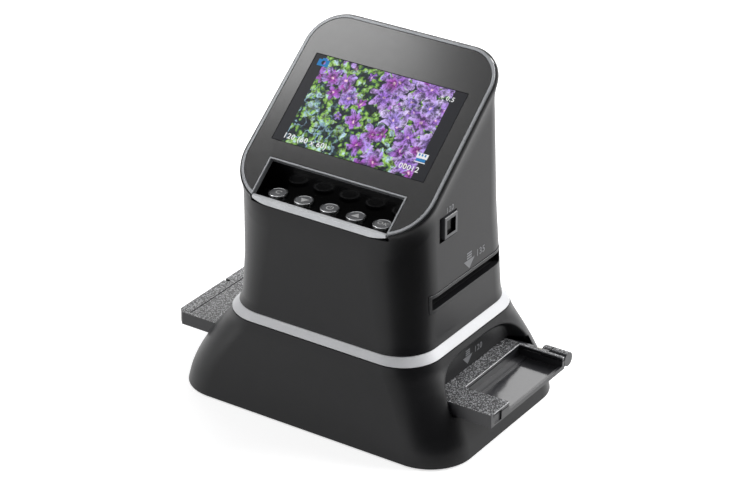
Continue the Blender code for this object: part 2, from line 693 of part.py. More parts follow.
def make_tower():
    skin = tower_sections(0)
    top = on_panel(head_outline(HEAD_EDGE / 3), HEAD_DROP)
    housing = loft("tower_housing", [*skin, top], CHARCOAL)
    inner = tower_sections(TOWER_WALL)
    mouth = [point - Vector((0, 0, OVERRUN)) for point in inner[0]]
    lid_side = on_panel(head_outline(TOWER_WALL), -OVERRUN)
    hollow = loft("tower_hollow", [mouth, *inner, lid_side])
    rebate = flat_plate("bezel_rebate", [head_outline(RIM_INSET - CLEARANCE)],
                        -RIM_THICKNESS - CLEARANCE, OVERRUN, parent=SCREEN)
    reach = TOWER_HALF_LOW + OVERRUN
    frame_grow = SLOT_RIDGE + CLEARANCE
    slot = slab("slot_opening", (-reach, reach), (SLOT_FRONT - frame_grow, SLOT_BACK + frame_grow),
                (SLOT_BOTTOM_Z - frame_grow, SLOT_BOTTOM_Z + SLOT_HEIGHT + frame_grow))
    selector = slab("selector_opening", (SELECTOR_INNER_X, reach), (SELECTOR_OPEN_FRONT, SELECTOR_OPEN_BACK),
                    (SELECTOR_Z - SELECTOR_OPEN_HALF_Z, SELECTOR_Z + SELECTOR_OPEN_HALF_Z))
    seat_half = POCKET_HALF_X + POCKET_WALL + CLEARANCE
    lip_seat = slab("lip_seat", (-seat_half, seat_half), (TOWER_FRONT_HIGH - OVERRUN, POCKET_FRONT + OVERRUN),
                    (SHELF_Z - SHELF_THICKNESS - CLEARANCE, SCREEN_Z))
    cut(housing, hollow, rebate, slot, selector, lip_seat)
    for index, (x, y) in enumerate(tower_boss_places()):
        edge = TOWER_FRONT_LOW if y < 0 else TOWER_BACK_LOW
        radius = TOWER_FRONT_CORNER_LOW if y < 0 else TOWER_BACK_CORNER
        wall_x, wall_y = corner_point(TOWER_HALF_LOW, edge, radius, TOWER_WALL / 2)
        weld_on(housing, rod(f"tower_boss_{index}", BOSS_RADIUS, (x, y, BASE_TOP_Z + CLEARANCE),
                             (x, y, TOWER_BOSS_TOP_Z)),
                rib(f"tower_rib_{index}", (x, y), (wall_x if x > 0 else -wall_x, wall_y), TOWER_RIB,
                    (RING_TOP_Z + CLEARANCE * 2, TOWER_BOSS_TOP_Z)))
        cut(housing, screw_room(f"tower_bore_{index}", SCREW_RADIUS, x, y, BASE_TOP_Z,
                                TOWER_BOSS_TOP_Z - BOSS_CAP))
    for index, (x, z) in enumerate([(side * STANDOFF_X, z) for z in (STANDOFF_LOW_Z, STANDOFF_HIGH_Z)
                                    for side in (-1, 1)]):
        weld_on(housing, rod(f"standoff_{index}", STANDOFF_RADIUS,
                             (x, MAIN_BOARD_Y + BOARD_THICKNESS + CLEARANCE, z),
                             (x, back_y(z) - TOWER_WALL / 2, z)))
    for name, x, width, height in (("usb_window", USB_X, USB_WIDTH, USB_HEIGHT),
                                   ("card_window", CARD_X, CARD_WIDTH, CARD_HEIGHT)):
        grow = CLEARANCE
        cut(housing, slab(name, (x - width / 2 - grow, x + width / 2 + grow),
                          (back_y(SOCKET_Z) - TOWER_WALL * 2, back_y(SOCKET_Z) + OVERRUN),
                          (SOCKET_Z - height / 2 - grow, SOCKET_Z + height / 2 + grow)))


def plate_outline(grow):
    """The screen plate's outline with its open notch for the keys."""
    inset = RIM_INSET + RIM_WIDTH + SCREEN_PLATE_GAP - grow
    whole = head_outline(inset)
    notch_half = NOTCH_HALF_X + NOTCH_EDGE + SCREEN_PLATE_GAP - grow
    notch_top = NOTCH_TOP + NOTCH_EDGE + SCREEN_PLATE_GAP - grow
    kept = [(x, y) for x, y in whole if abs(x) > notch_half or y > 0]
    radius = HEAD_CORNER_LOW - inset
    lift = (radius ** 2 - (notch_half - (HEAD_HALF_LOW - HEAD_CORNER_LOW)) ** 2) ** 0.5
    foot_y = HEAD_LOW + HEAD_CORNER_LOW - lift
    gap = [(-notch_half, foot_y), (-notch_half, notch_top), (notch_half, notch_top), (notch_half, foot_y)]
    left_end = max(index for index, (x, y) in enumerate(kept) if x < 0)
    return kept[:left_end + 1] + gap + kept[left_end + 1:]


def make_screen():
    bezel = flat_plate("screen_bezel", [head_outline(RIM_INSET)], -RIM_THICKNESS, 0, SATIN_GREY, SCREEN)
    soften(bezel, RIM_EDGE)
    seat = flat_plate("plate_seat", [plate_outline(SCREEN_PLATE_GAP)],
                      -SCREEN_PLATE_DROP - SCREEN_PLATE_THICKNESS - CLEARANCE, OVERRUN, parent=SCREEN)
    window_x = PICTURE_HALF_X + CLEARANCE * 2
    window_y = PICTURE_HALF_Y + CLEARANCE * 2
    window = slab("picture_window", (-window_x, window_x), (-window_y, window_y), (-OVERRUN, OVERRUN),
                  parent=SCREEN)
    notch = slab("key_notch", (-NOTCH_HALF_X, NOTCH_HALF_X), (HEAD_LOW - OVERRUN, NOTCH_TOP),
                 (-OVERRUN, OVERRUN), parent=SCREEN)
    cut(bezel, seat, window, notch)
    plate = flat_plate("screen_plate", [plate_outline(0)], -SCREEN_PLATE_DROP - SCREEN_PLATE_THICKNESS,
                       -SCREEN_PLATE_DROP, GLOSS_BLACK, SCREEN)
    pane_x = PICTURE_HALF_X + CLEARANCE
    pane_y = PICTURE_HALF_Y + CLEARANCE
    cut(plate, slab("plate_window", (-pane_x, pane_x), (-pane_y, pane_y), (-OVERRUN, OVERRUN),
                    parent=SCREEN))
    back = -RIM_THICKNESS - CLEARANCE
    body_low = back - LCD_BODY_THICKNESS
    module = slab("lcd_module", (-LCD_BODY_HALF_X, LCD_BODY_HALF_X), (-LCD_BODY_HALF_Y, LCD_BODY_HALF_Y),
                  (body_low, back), LCD_GLASS, SCREEN)
    weld_on(module, slab("lcd_face", (-PICTURE_HALF_X, PICTURE_HALF_X), (-PICTURE_HALF_Y, PICTURE_HALF_Y),
                         (back - LCD_BODY_THICKNESS / 2, -PICTURE_DROP), parent=SCREEN))
    inner_x = LCD_BODY_HALF_X + CLEARANCE
    inner_y = LCD_BODY_HALF_Y + CLEARANCE
    outer_x = inner_x + LCD_FRAME_WALL
    outer_y = inner_y + LCD_FRAME_WALL
    floor = body_low - CLEARANCE
    frame = slab("lcd_frame", (-outer_x, outer_x), (-outer_y, outer_y), (floor - LCD_FRAME_WALL, back),
                 BLACK, SCREEN)
    cut(frame, slab("lcd_bay", (-inner_x, inner_x), (-inner_y, inner_y), (floor, back + OVERRUN),
                    parent=SCREEN),
        slab("frame_window", (-LCD_FRAME_WINDOW_HALF_X, LCD_FRAME_WINDOW_HALF_X),
             (-LCD_FRAME_WINDOW_HALF_Y, LCD_FRAME_WINDOW_HALF_Y),
             (floor - LCD_FRAME_WALL - OVERRUN, floor + OVERRUN), parent=SCREEN))


def key_places():
    middle = (len(KEY_NAMES) - 1) / 2
    return [(index - middle) * KEY_PITCH for index in range(len(KEY_NAMES))]


def make_keys():
    outer_half = POCKET_HALF_X + POCKET_WALL
    shelf_low = SHELF_Z - SHELF_THICKNESS
    tray = slab("button_tray", (-outer_half, outer_half), (POCKET_FRONT, POCKET_BACK + POCKET_WALL),
                (shelf_low, SCREEN_Z - OVERRUN), GLOSS_BLACK)
    bay = slab("tray_bay", (-POCKET_HALF_X, POCKET_HALF_X), (POCKET_FRONT - OVERRUN, POCKET_BACK),
               (SHELF_Z, SCREEN_Z))
    above = slab("above_bezel", (-HEAD_HALF_LOW, HEAD_HALF_LOW), (HEAD_LOW - OVERRUN, 0),
                 (-RIM_THICKNESS - CLEARANCE, SCREEN_Z / 2), parent=SCREEN)
    holes = [rod(f"key_hole_{index}", KEY_RADIUS + CLEARANCE, (x, KEY_Y, shelf_low - OVERRUN),
                 (x, KEY_Y, SHELF_Z + OVERRUN), steps=ROUND_STEPS) for index, x in enumerate(key_places())]
    cut(tray, bay, above, *holes)
    flange_top = shelf_low - CLEARANCE
    flange_low = flange_top - KEY_FLANGE_THICKNESS
    stem_low = flange_low - KEY_STEM_LENGTH
    board_top = stem_low - KEY_TRAVEL - CLEARANCE - SWITCH_HEIGHT
    for index, x in enumerate(key_places()[:-1]):
        peg_x = x + KEY_PITCH / 2
        weld_on(tray, rod(f"peg_{index}", PEG_RADIUS, (peg_x, PEG_Y, board_top + CLEARANCE),
                          (peg_x, PEG_Y, shelf_low + SHELF_THICKNESS / 2)))
    top = SHELF_Z + KEY_PROUD
    for name, x in zip(KEY_NAMES, key_places()):
        turned(name, [(0, top - KEY_DISH), (KEY_DISH_RADIUS - KEY_DISH, top - KEY_DISH),
                      (KEY_DISH_RADIUS, top), (KEY_RADIUS - KEY_EDGE, top), (KEY_RADIUS, top - KEY_EDGE),
                      (KEY_RADIUS, flange_top), (KEY_FLANGE_RADIUS, flange_top),
                      (KEY_FLANGE_RADIUS, flange_low), (KEY_STEM_RADIUS, flange_low),
                      (KEY_STEM_RADIUS, stem_low), (0, stem_low)], (x, KEY_Y, 0), KEY_METAL)
    board = slab("key_board", (-KEY_BOARD_HALF_X, KEY_BOARD_HALF_X), (KEY_BOARD_FRONT, KEY_BOARD_BACK),
                 (board_top - BOARD_THICKNESS, board_top), BOARD_GREEN)
    half = SWITCH_SIZE / 2
    for index, x in enumerate(key_places()):
        weld_on(board, slab(f"switch_{index}", (x - half, x + half), (KEY_Y - half, KEY_Y + half),
                            (board_top - BOARD_THICKNESS / 2, board_top + SWITCH_HEIGHT)))


def plan_of_head(inset):
    return [(point.x, point.y) for point in on_panel(head_outline(inset), HEAD_DROP + HEAD_EDGE)]


def make_lip():
    lip = flat_plate("front_lip", [plan_of_head(0)], LIP_BOTTOM_Z, LIP_TOP_Z, SATIN_GREY)
    keep = slab("lip_keep", (-LIP_HALF_X, LIP_HALF_X), (HEAD_LOW, POCKET_FRONT - CLEARANCE),
                (LIP_BOTTOM_Z - OVERRUN, LIP_TOP_Z + OVERRUN))
    boolean(lip, keep, "INTERSECT")
    soften(lip, LIP_EDGE, 3)


def make_selector():
    low = SELECTOR_OPEN_BACK - CLEARANCE - SELECTOR_KNOB
    half = SELECTOR_KNOB / 2
    knob = slab("selector_knob", (SELECTOR_INNER_X, SELECTOR_PROUD_X), (low, low + SELECTOR_KNOB),
                (SELECTOR_Z - half, SELECTOR_Z + half), SATIN_GREY)
    soften(knob, SELECTOR_EDGE)
    middle = low + half
    dish = SELECTOR_DISH / 2
    cut(knob, slab("knob_dish", (SELECTOR_PROUD_X - SELECTOR_DISH_DEPTH, SELECTOR_PROUD_X + OVERRUN),
                   (middle - dish, middle + dish), (SELECTOR_Z - dish, SELECTOR_Z + dish)))
    outer = SELECTOR_INNER_X - CLEARANCE
    inner = outer - CARRIAGE_THICKNESS
    tall = CARRIAGE_HEIGHT / 2
    slab("selector_carriage", (inner, outer), (middle - CARRIAGE_LENGTH / 2, middle + CARRIAGE_LENGTH / 2),
         (SELECTOR_Z - tall, SELECTOR_Z + tall), BLACK)
    rail = tall + CLEARANCE + GUIDE_WALL
    guide = slab("selector_guide", (inner - CLEARANCE - GUIDE_WALL, SELECTOR_INNER_X),
                 (GUIDE_FRONT, GUIDE_BACK), (SELECTOR_Z - rail, SELECTOR_Z + rail), BLACK)
    cut(guide, slab("guide_track", (inner - CLEARANCE, SELECTOR_INNER_X + OVERRUN),
                    (GUIDE_FRONT - OVERRUN, GUIDE_BACK + OVERRUN),
                    (SELECTOR_Z - tall - CLEARANCE, SELECTOR_Z + tall + CLEARANCE)))


def make_film_slot():
    top = SLOT_BOTTOM_Z + SLOT_HEIGHT
    outer_x = TOWER_HALF_MIDDLE + SLOT_FRAME_PROUD
    inner_x = outer_x - SLOT_FRAME_DEPTH
    for side, name in ((-1, "left"), (1, "right")):
        span = sorted((side * inner_x, side * (outer_x + OVERRUN)))
        frame = slab("slot_frame_" + name, span, (SLOT_FRONT - SLOT_RIDGE, SLOT_BACK + SLOT_RIDGE),
                     (SLOT_BOTTOM_Z - SLOT_RIDGE, top + SLOT_RIDGE), BLACK)
        skin = loft("slot_frame_skin_" + name, tower_sections(-SLOT_FRAME_PROUD))
        boolean(frame, skin, "INTERSECT")
        soften(frame, SLOT_FRAME_EDGE)
        cut(frame, slab("slot_mouth_" + name, (span[0] - OVERRUN, span[1] + OVERRUN),
                        (SLOT_FRONT, SLOT_BACK), (SLOT_BOTTOM_Z, top)))
    end = inner_x - CLEARANCE
    wall = TUNNEL_WALL
    tunnel = slab("film_tunnel", (-end, end), (SLOT_FRONT - wall, SLOT_BACK + wall),
                  (SLOT_BOTTOM_Z - wall, top + wall), BLACK)
    cut(tunnel, slab("tunnel_bore", (-end - OVERRUN, end + OVERRUN), (SLOT_FRONT, SLOT_BACK),
                     (SLOT_BOTTOM_Z, top)),
        slab("film_gate", (-GATE_HALF, GATE_HALF), (OPTIC_Y - GATE_HALF, OPTIC_Y + GATE_HALF),
             (SLOT_BOTTOM_Z - wall - OVERRUN, top + wall + OVERRUN)))


def shaft(name, low_z, low_half, high_z, high_half):
    outer = [level(square_outline(half, OPTIC_Y, SHAFT_CORNER), z)
             for half, z in ((low_half, low_z), (high_half, high_z))]
    inner = [level(square_outline(half - SHAFT_WALL, OPTIC_Y, SHAFT_CORNER - SHAFT_WALL), z)
             for half, z in ((high_half, high_z), (low_half, low_z))]
    loft(name, [*outer, *inner], BLACK, ring=True)


def make_camera():
    tunnel_low = SLOT_BOTTOM_Z - TUNNEL_WALL
    tunnel_high = SLOT_BOTTOM_Z + SLOT_HEIGHT + TUNNEL_WALL
    shaft("lower_shaft", BASE_TOP_Z + CLEARANCE, LOWER_SHAFT_BOTTOM_HALF, tunnel_low - CLEARANCE,
          LOWER_SHAFT_TOP_HALF)
    shaft_low = tunnel_high + CLEARANCE
    shaft_high = shaft_low + UPPER_SHAFT_HEIGHT
    shaft("upper_shaft", shaft_low, UPPER_SHAFT_BOTTOM_HALF, shaft_high, UPPER_SHAFT_TOP_HALF)
    mount_low = shaft_high + CLEARANCE
    mount_high = mount_low + LENS_MOUNT_THICKNESS
    mount = slab("lens_mount", (-LENS_MOUNT_HALF, LENS_MOUNT_HALF),
                 (OPTIC_Y - LENS_MOUNT_HALF, OPTIC_Y + LENS_MOUNT_HALF), (mount_low, mount_high), BLACK)
    cut(mount, rod("lens_bore", LENS_RADIUS + CLEARANCE, (0, OPTIC_Y, mount_low - OVERRUN),
                   (0, OPTIC_Y, mount_high + OVERRUN), steps=ROUND_STEPS))
    flange_low = mount_high + CLEARANCE
    flange_high = flange_low + LENS_FLANGE_THICKNESS
    barrel_top = flange_high + LENS_ABOVE
    barrel_low = mount_low - LENS_BELOW
    glass_z = barrel_low + LENS_MOUTH_DEPTH
    turned("lens_barrel", [(0, barrel_top), (LENS_RADIUS, barrel_top), (LENS_RADIUS, flange_high),
                           (LENS_FLANGE_RADIUS, flange_high), (LENS_FLANGE_RADIUS, flange_low),
                           (LENS_RADIUS, flange_low), (LENS_RADIUS, barrel_low),
                           (LENS_MOUTH_RADIUS, barrel_low), (LENS_MOUTH_RADIUS / 2, glass_z),
                           (0, glass_z)], (0, OPTIC_Y, 0), STEEL)
    board_low = barrel_top + CLEARANCE
    slab("sensor_board", (-SENSOR_HALF_X, SENSOR_HALF_X), (OPTIC_Y - SENSOR_HALF_Y, OPTIC_Y + SENSOR_HALF_Y),
         (board_low, board_low + BOARD_THICKNESS), BOARD_GREEN)


def make_electronics():
    slab("main_board", (-MAIN_BOARD_HALF_X, MAIN_BOARD_HALF_X),
         (MAIN_BOARD_Y, MAIN_BOARD_Y + BOARD_THICKNESS), (MAIN_BOARD_BOTTOM_Z, MAIN_BOARD_TOP_Z), BOARD_GREEN)
    near = MAIN_BOARD_Y + BOARD_THICKNESS + CLEARANCE
    far = back_y(SOCKET_Z) - CLEARANCE
    for name, x, width, height, wall, depth in (
            ("usb_socket", USB_X, USB_WIDTH, USB_HEIGHT, USB_WALL, USB_DEPTH),
            ("card_socket", CARD_X, CARD_WIDTH, CARD_HEIGHT, CARD_WALL, CARD_DEPTH)):
        half = width / 2
        tall = height / 2
        socket = slab(name, (x - half, x + half), (near, far), (SOCKET_Z - tall, SOCKET_Z + tall), STEEL)
        cut(socket, slab(name + "_mouth", (x - half + wall, x + half - wall), (far - depth, far + OVERRUN),
                         (SOCKET_Z - tall + wall, SOCKET_Z + tall - wall)))


def holder_outline():
    """The holder's plan: square, with one chamfered front corner on the left."""
    left = -HOLDER_HALF_X
    return [(HOLDER_HALF_X, HOLDER_FRONT), (HOLDER_HALF_X, HOLDER_BACK), (left, HOLDER_BACK),
            (left, HOLDER_FRONT + HOLDER_CHAMFER), (left + HOLDER_CHAMFER / 2, HOLDER_FRONT)]


def knuckle(name, x_span, finish=None):
    return rod(name, HINGE_RADIUS, (x_span[0], HINGE_Y, HINGE_Z), (x_span[1], HINGE_Y, HINGE_Z), finish,
               ROUND_STEPS)


def side_span(side, inner, outer):
    return sorted((side * inner, side * outer))


def make_holder():
    lid_low = HOLDER_TOP_Z - LID_THICKNESS
    tray_top = lid_low - CLEARANCE
    lid_left = -HOLDER_HALF_X + LID_BORDER
    lid_front = HOLDER_FRONT + LID_FRONT_BORDER
    lid_back = HINGE_Y - HINGE_RADIUS - CLEARANCE
    right = HOLDER_HALF_X + OVERRUN
    floor = HOLDER_BOTTOM_Z + WELL_FLOOR
    tray = flat_plate("holder_tray", [holder_outline()], HOLDER_BOTTOM_Z, HOLDER_TOP_Z, TEXTURED)
    lid_bay = slab("lid_bay", (lid_left - CLEARANCE, right), (lid_front - CLEARANCE, HOLDER_BACK + OVERRUN),
                   (tray_top, HOLDER_TOP_Z + OVERRUN))
    channel = slab("film_channel", (lid_left + FILM_CHANNEL_END, WELL_INNER_X + OVERRUN),
                   (OPTIC_Y - FILM_CHANNEL_HALF, OPTIC_Y + FILM_CHANNEL_HALF),
                   (tray_top - FILM_CHANNEL_DEPTH, HOLDER_TOP_Z))
    notch = slab("nail_notch", (-right, -HOLDER_HALF_X + NAIL_NOTCH_LENGTH),
                 (NAIL_NOTCH_Y - NAIL_NOTCH_WIDTH / 2, NAIL_NOTCH_Y + NAIL_NOTCH_WIDTH / 2),
                 (HOLDER_TOP_Z - NAIL_NOTCH_DEPTH, HOLDER_TOP_Z + OVERRUN))
    gate = slab("tray_gate", (-FRAME_HALF, FRAME_HALF), (OPTIC_Y - FRAME_HALF, OPTIC_Y + FRAME_HALF),
                (HOLDER_BOTTOM_Z - OVERRUN, HOLDER_TOP_Z + OVERRUN))
    rim_x = HOLDER_HALF_X - WELL_RIM_WIDTH
    well = slab("well", (WELL_INNER_X, rim_x), (WELL_FRONT, WELL_BACK), (floor, HOLDER_TOP_Z + OVERRUN))
    well_mouth = slab("well_mouth", (rim_x - WELL_RIM, right), (WELL_FRONT, WELL_BACK),
                      (floor + WELL_RIM, HOLDER_TOP_Z + OVERRUN))
    well_step = slab("well_step", (WELL_INNER_X + WELL_STEP_INSET, rim_x),
                     (WELL_FRONT + WELL_STEP_INSET, WELL_BACK), (floor - WELL_STEP, floor + OVERRUN))
    grip_front = HOLDER_FRONT + GRIP_INSET_Y
    grips = [slab("grip_mark_" + name, (HOLDER_HALF_X - GRIP_DEPTH, right),
                  (grip_front, grip_front + GRIP_WIDTH),
                  (HOLDER_BOTTOM_Z + GRIP_INSET_Z, HOLDER_TOP_Z - GRIP_INSET_Z))
             for name in ("tray", "lid")]
    cut(tray, lid_bay, channel, gate, well, well_mouth, well_step, grips[0], notch)
    lid = slab("holder_lid", (lid_left, HOLDER_HALF_X), (lid_front, lid_back), (lid_low, HOLDER_TOP_Z),
               TEXTURED)
    cut(lid, slab("lid_gate", (-FRAME_HALF, FRAME_HALF), (OPTIC_Y - FRAME_HALF, OPTIC_Y + FRAME_HALF),
                  (lid_low - OVERRUN, HOLDER_TOP_Z + OVERRUN)),
        slab("lid_window", (WELL_INNER_X, right), (WELL_FRONT, WELL_BACK),
             (lid_low - OVERRUN, HOLDER_TOP_Z + OVERRUN)), grips[1])
    web_y = ((WELL_BACK + lid_back) / 2, HINGE_Y)
    for side, name in ((-1, "left"), (1, "right")):
        end = HOLDER_HALF_X
        tray_start = end - KNUCKLE_LENGTH
        lid_end = tray_start - KNUCKLE_GAP
        lid_start = lid_end - LID_KNUCKLE_LENGTH
        pocket_start = lid_start - KNUCKLE_GAP
        tray_web = side_span(side, tray_start + WALL_STEP, end - WALL_STEP)
        lid_web = side_span(side, lid_start + WALL_STEP, lid_end - WALL_STEP)
        cut(tray, slab("hinge_pocket_" + name, side_span(side, pocket_start, end + OVERRUN),
                       (lid_back, HOLDER_BACK + OVERRUN),
                       (HOLDER_BOTTOM_Z - OVERRUN, HOLDER_TOP_Z + OVERRUN)))
        weld_on(tray, slab("tray_web_" + name, tray_web, web_y, (HOLDER_BOTTOM_Z + WALL_STEP, HINGE_Z)),
                knuckle("tray_knuckle_" + name, side_span(side, tray_start, end)))
        weld_on(lid, slab("lid_web_" + name, lid_web, web_y,
                          (lid_low + WALL_STEP, HOLDER_TOP_Z - WALL_STEP)),
                knuckle("lid_knuckle_" + name, side_span(side, lid_start, lid_end)))
        for piece in (tray, lid):
            cut(piece, rod(f"{piece.name}_bore_{name}", PIN_RADIUS + CLEARANCE,
                           (side * (pocket_start - OVERRUN), HINGE_Y, HINGE_Z),
                           (side * (end - PIN_SUNK + CLEARANCE), HINGE_Y, HINGE_Z)))
        rod("hinge_pin_" + name, PIN_RADIUS, (side * (pocket_start - OVERRUN + CLEARANCE), HINGE_Y, HINGE_Z),
            (side * (end - PIN_SUNK), HINGE_Y, HINGE_Z), STEEL)


def make_backlight():
    low = PLATE_TOP_Z + CLEARANCE
    diffuser_low = DIFFUSER_TOP_Z - DIFFUSER_THICKNESS
    high = diffuser_low - CLEARANCE
    inner = LAMP_HALF - LAMP_WALL
    box = slab("lamp_box", (-LAMP_HALF, LAMP_HALF), (OPTIC_Y - LAMP_HALF, OPTIC_Y + LAMP_HALF), (low, high),
               WHITE)
    cut(box, slab("lamp_bay", (-inner, inner), (OPTIC_Y - inner, OPTIC_Y + inner),
                  (low + LAMP_WALL, high + OVERRUN)))
    slab("diffuser", (-LAMP_HALF, LAMP_HALF), (OPTIC_Y - LAMP_HALF, OPTIC_Y + LAMP_HALF),
         (diffuser_low, DIFFUSER_TOP_Z), MILKY)
    board_low = low + LAMP_WALL + CLEARANCE
    board_top = board_low + BOARD_THICKNESS
    board = slab("led_board", (-LED_HALF, LED_HALF), (OPTIC_Y - LED_HALF, OPTIC_Y + LED_HALF),
                 (board_low, board_top), BOARD_GREEN)
    half = LED_SIZE / 2
    for row in (-1, 0, 1):
        for column in (-1, 0, 1):
            x = column * LED_PITCH
            y = OPTIC_Y + row * LED_PITCH
            weld_on(board, slab(f"led_{row}_{column}", (x - half, x + half), (y - half, y + half),
                                (board_top - BOARD_THICKNESS / 2, board_top + LED_HEIGHT)))


clear_scene()
PARTS = new_collection("film_negative_scanner")
CUTTERS = new_collection("cutters")

CHARCOAL = material("charcoal_plastic", (0.028, 0.028, 0.03), 0.5)
BLACK = material("black_plastic", (0.015, 0.015, 0.016), 0.55)
GLOSS_BLACK = material("gloss_black", (0.02, 0.02, 0.022), 0.12)
SATIN_GREY = material("satin_grey", (0.11, 0.11, 0.115), 0.4)
TEXTURED = material("textured_plastic", (0.03, 0.03, 0.032), 0.8)
MILKY = material("milky_diffuser", (0.78, 0.79, 0.8), 0.45)
WHITE = material("white_plastic", (0.8, 0.8, 0.8), 0.5)
KEY_METAL = material("key_metal", (0.36, 0.36, 0.37), 0.35, 0.6)
LCD_GLASS = material("lcd_glass", (0.06, 0.06, 0.09), 0.15)
BOARD_GREEN = material("board_green", (0.03, 0.16, 0.07), 0.5)
STEEL = material("steel", (0.55, 0.55, 0.56), 0.35, 1.0)
RUBBER = material("rubber", (0.02, 0.02, 0.02), 0.85)

SCREEN = bpy.data.objects.new("screen_axes", None)
PARTS.objects.link(SCREEN)
SCREEN.location = (0, 0, SCREEN_Z)
SCREEN.rotation_euler = (TILT, 0, 0)

make_base()
make_bottom()
make_ring()
make_tower()
make_screen()
make_keys()
make_lip()
make_selector()
make_film_slot()
make_camera()
make_electronics()
make_holder()
make_backlight()
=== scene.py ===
"""Looks of the desktop film negative scanner, laid out as a Blender add-on.

Real sizes in metres, +Z up, the front faces -Y and the origin is on the table under
the middle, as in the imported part. Each operator models one piece or group of pieces.
"""

from math import cos, pi, radians, sin, tan

import bmesh
import bpy
from bpy.props import FloatProperty, FloatVectorProperty, PointerProperty
from bpy.types import Operator, Panel, PropertyGroup
from mathutils import Matrix, Vector


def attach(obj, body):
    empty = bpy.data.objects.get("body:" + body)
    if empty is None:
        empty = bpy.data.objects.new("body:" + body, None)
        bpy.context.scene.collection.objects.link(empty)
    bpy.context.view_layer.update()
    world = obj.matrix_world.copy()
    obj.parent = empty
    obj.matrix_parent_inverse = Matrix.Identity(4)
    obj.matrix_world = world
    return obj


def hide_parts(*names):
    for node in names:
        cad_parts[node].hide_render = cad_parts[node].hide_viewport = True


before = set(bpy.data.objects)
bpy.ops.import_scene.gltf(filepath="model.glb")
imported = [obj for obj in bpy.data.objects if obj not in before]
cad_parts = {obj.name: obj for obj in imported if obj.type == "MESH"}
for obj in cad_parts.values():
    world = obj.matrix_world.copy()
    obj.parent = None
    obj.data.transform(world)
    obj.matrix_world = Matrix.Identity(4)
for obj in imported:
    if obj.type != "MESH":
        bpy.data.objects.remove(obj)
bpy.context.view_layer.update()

bl_info = {
    "name": "Film Negative Scanner",
    "version": (1, 0, 0),
    "blender": (4, 5, 0),
    "location": "View3D > Sidebar > Scanner",
    "description": "Models and finishes the pieces of a desktop film negative scanner",
    "category": "Add Mesh",
}

MM = 0.001

# Gaps, overruns of cutters and how finely rounds are drawn
GAP = 0.3 * MM
OVERRUN = 4 * MM
MERGE = 0.002 * MM
FINE_ANGLE = radians(28)
CORNER_STEPS = 18

# The screen's plane, whose own X and Y run along and up the screen
TILT = radians(38.37)
PANEL = Matrix.Translation((0, 0, 160.3 * MM)) @ Matrix.Rotation(TILT, 4, "X")

# Base skirt: plan at the foot and at the top, and how the flare dies away
SKIRT_FOOT = (89 * MM, -62.5 * MM, 62.5 * MM, 25.4 * MM)
SKIRT_TOP = (64.6 * MM, -52.2 * MM, 57.2 * MM, 23 * MM)
SKIRT_LOW_Z = 0.8 * MM
SKIRT_HEIGHT = 47.8 * MM
FLARE_SHARES = ((0, 1), (0.07, 0.97), (0.2, 0.9), (0.36, 0.77), (0.53, 0.59),
                (0.68, 0.4), (0.8, 0.23), (0.91, 0.08), (1, 0))
SKIRT_WALL = 2 * MM
SKIRT_ROW = 0.5 * MM
SKIRT_SIDE_STEPS = 150
SKIRT_CORNER_STEPS = 52
DECK_WIDTH = 26 * MM
DECK_CORNER = 4 * MM
POCKET_X = 65 * MM
POCKET_Y = 3 * MM
POCKET_Z = 23.5 * MM
POCKET_HALF_Y = 36 * MM
POCKET_RISE = 21.9 * MM
POCKET_POWER = 3.4
POCKET_SIDE_SLOPE = 2.6
POCKET_MOUTH_ROUND = 8 * MM
POCKET_ROUND_SHARE = 0.8
POCKET_LEAST_ROUND = 0.5 * MM
POCKET_ROOT_ROUND = 1.2 * MM
PASSAGE_FRONT = -38.4 * MM
PASSAGE_BACK = 45.4 * MM
PASSAGE_LOW = 22.85 * MM
PASSAGE_HIGH = 31.65 * MM

# Light ring: plan at its foot and at its top
RING_FOOT = (64.45 * MM, -52.1 * MM, 57.1 * MM, 23 * MM)
RING_TOP = (61.15 * MM, -49.9 * MM, 54.2 * MM, 22.2 * MM)
RING_LOW_Z = 48.9 * MM
RING_HIGH_Z = 53.6 * MM
RING_WALL = 5 * MM
RING_EDGE = 0.35 * MM

# Tower
TOWER_WALL = 2.4 * MM
TOWER_LOW_Z = 58 * MM
TOWER_FRONT_LOW = -48.3 * MM
TOWER_FRONT_HIGH = -48.9 * MM
TOWER_BACK_LOW = 53.4 * MM
TOWER_BACK_HIGH = 41.6 * MM
TOWER_BACK_HIGH_Z = 180 * MM
TOWER_MIDDLE_Z = 96 * MM
TOWER_MIDDLE_SHARE = 0.45
TOWER_HALF_LOW = 59.6 * MM
TOWER_HALF_MIDDLE = 59 * MM
TOWER_HALF_HIGH = 58.7 * MM
TOWER_FRONT_CORNER_LOW = 22 * MM
TOWER_FRONT_CORNER_HIGH = 29.5 * MM
TOWER_BACK_CORNER = 20.5 * MM
NECK_DEPTH = 13 * MM
NECK_ROWS = 10
NECK_POWER = 2.6
HEAD = (60.3 * MM, 59.3 * MM, -63.5 * MM, 54.8 * MM, 28 * MM, 21.5 * MM)
HEAD_DROP = 0.7 * MM
HEAD_EDGE = 1 * MM
RIM_INSET = 1.2 * MM
RIM_WIDTH = 1.7 * MM
RIM_THICKNESS = 3.2 * MM
RIM_ROUND = 0.5 * MM

# Screen plate, picture and key notch
PLATE_GAP = 0.25 * MM
PLATE_DROP = 0.15 * MM
PLATE_THICKNESS = 1.5 * MM
PLATE_ROUND = 0.12 * MM
PICTURE_HALF_X = 47.5 * MM
PICTURE_HALF_Y = 26.9 * MM
PICTURE_DROP = 0.25 * MM
PICTURE_SHEET = 0.06 * MM
PICTURE_LIFT = 0.01 * MM
PICTURE_ROUND = 0.02 * MM
PHOTO_LEFT = -40.7 * MM
PHOTO_RIGHT = 39.7 * MM
NOTCH_HALF_X = 42.1 * MM
NOTCH_TOP = -38 * MM
NOTCH_EDGE = 0.8 * MM

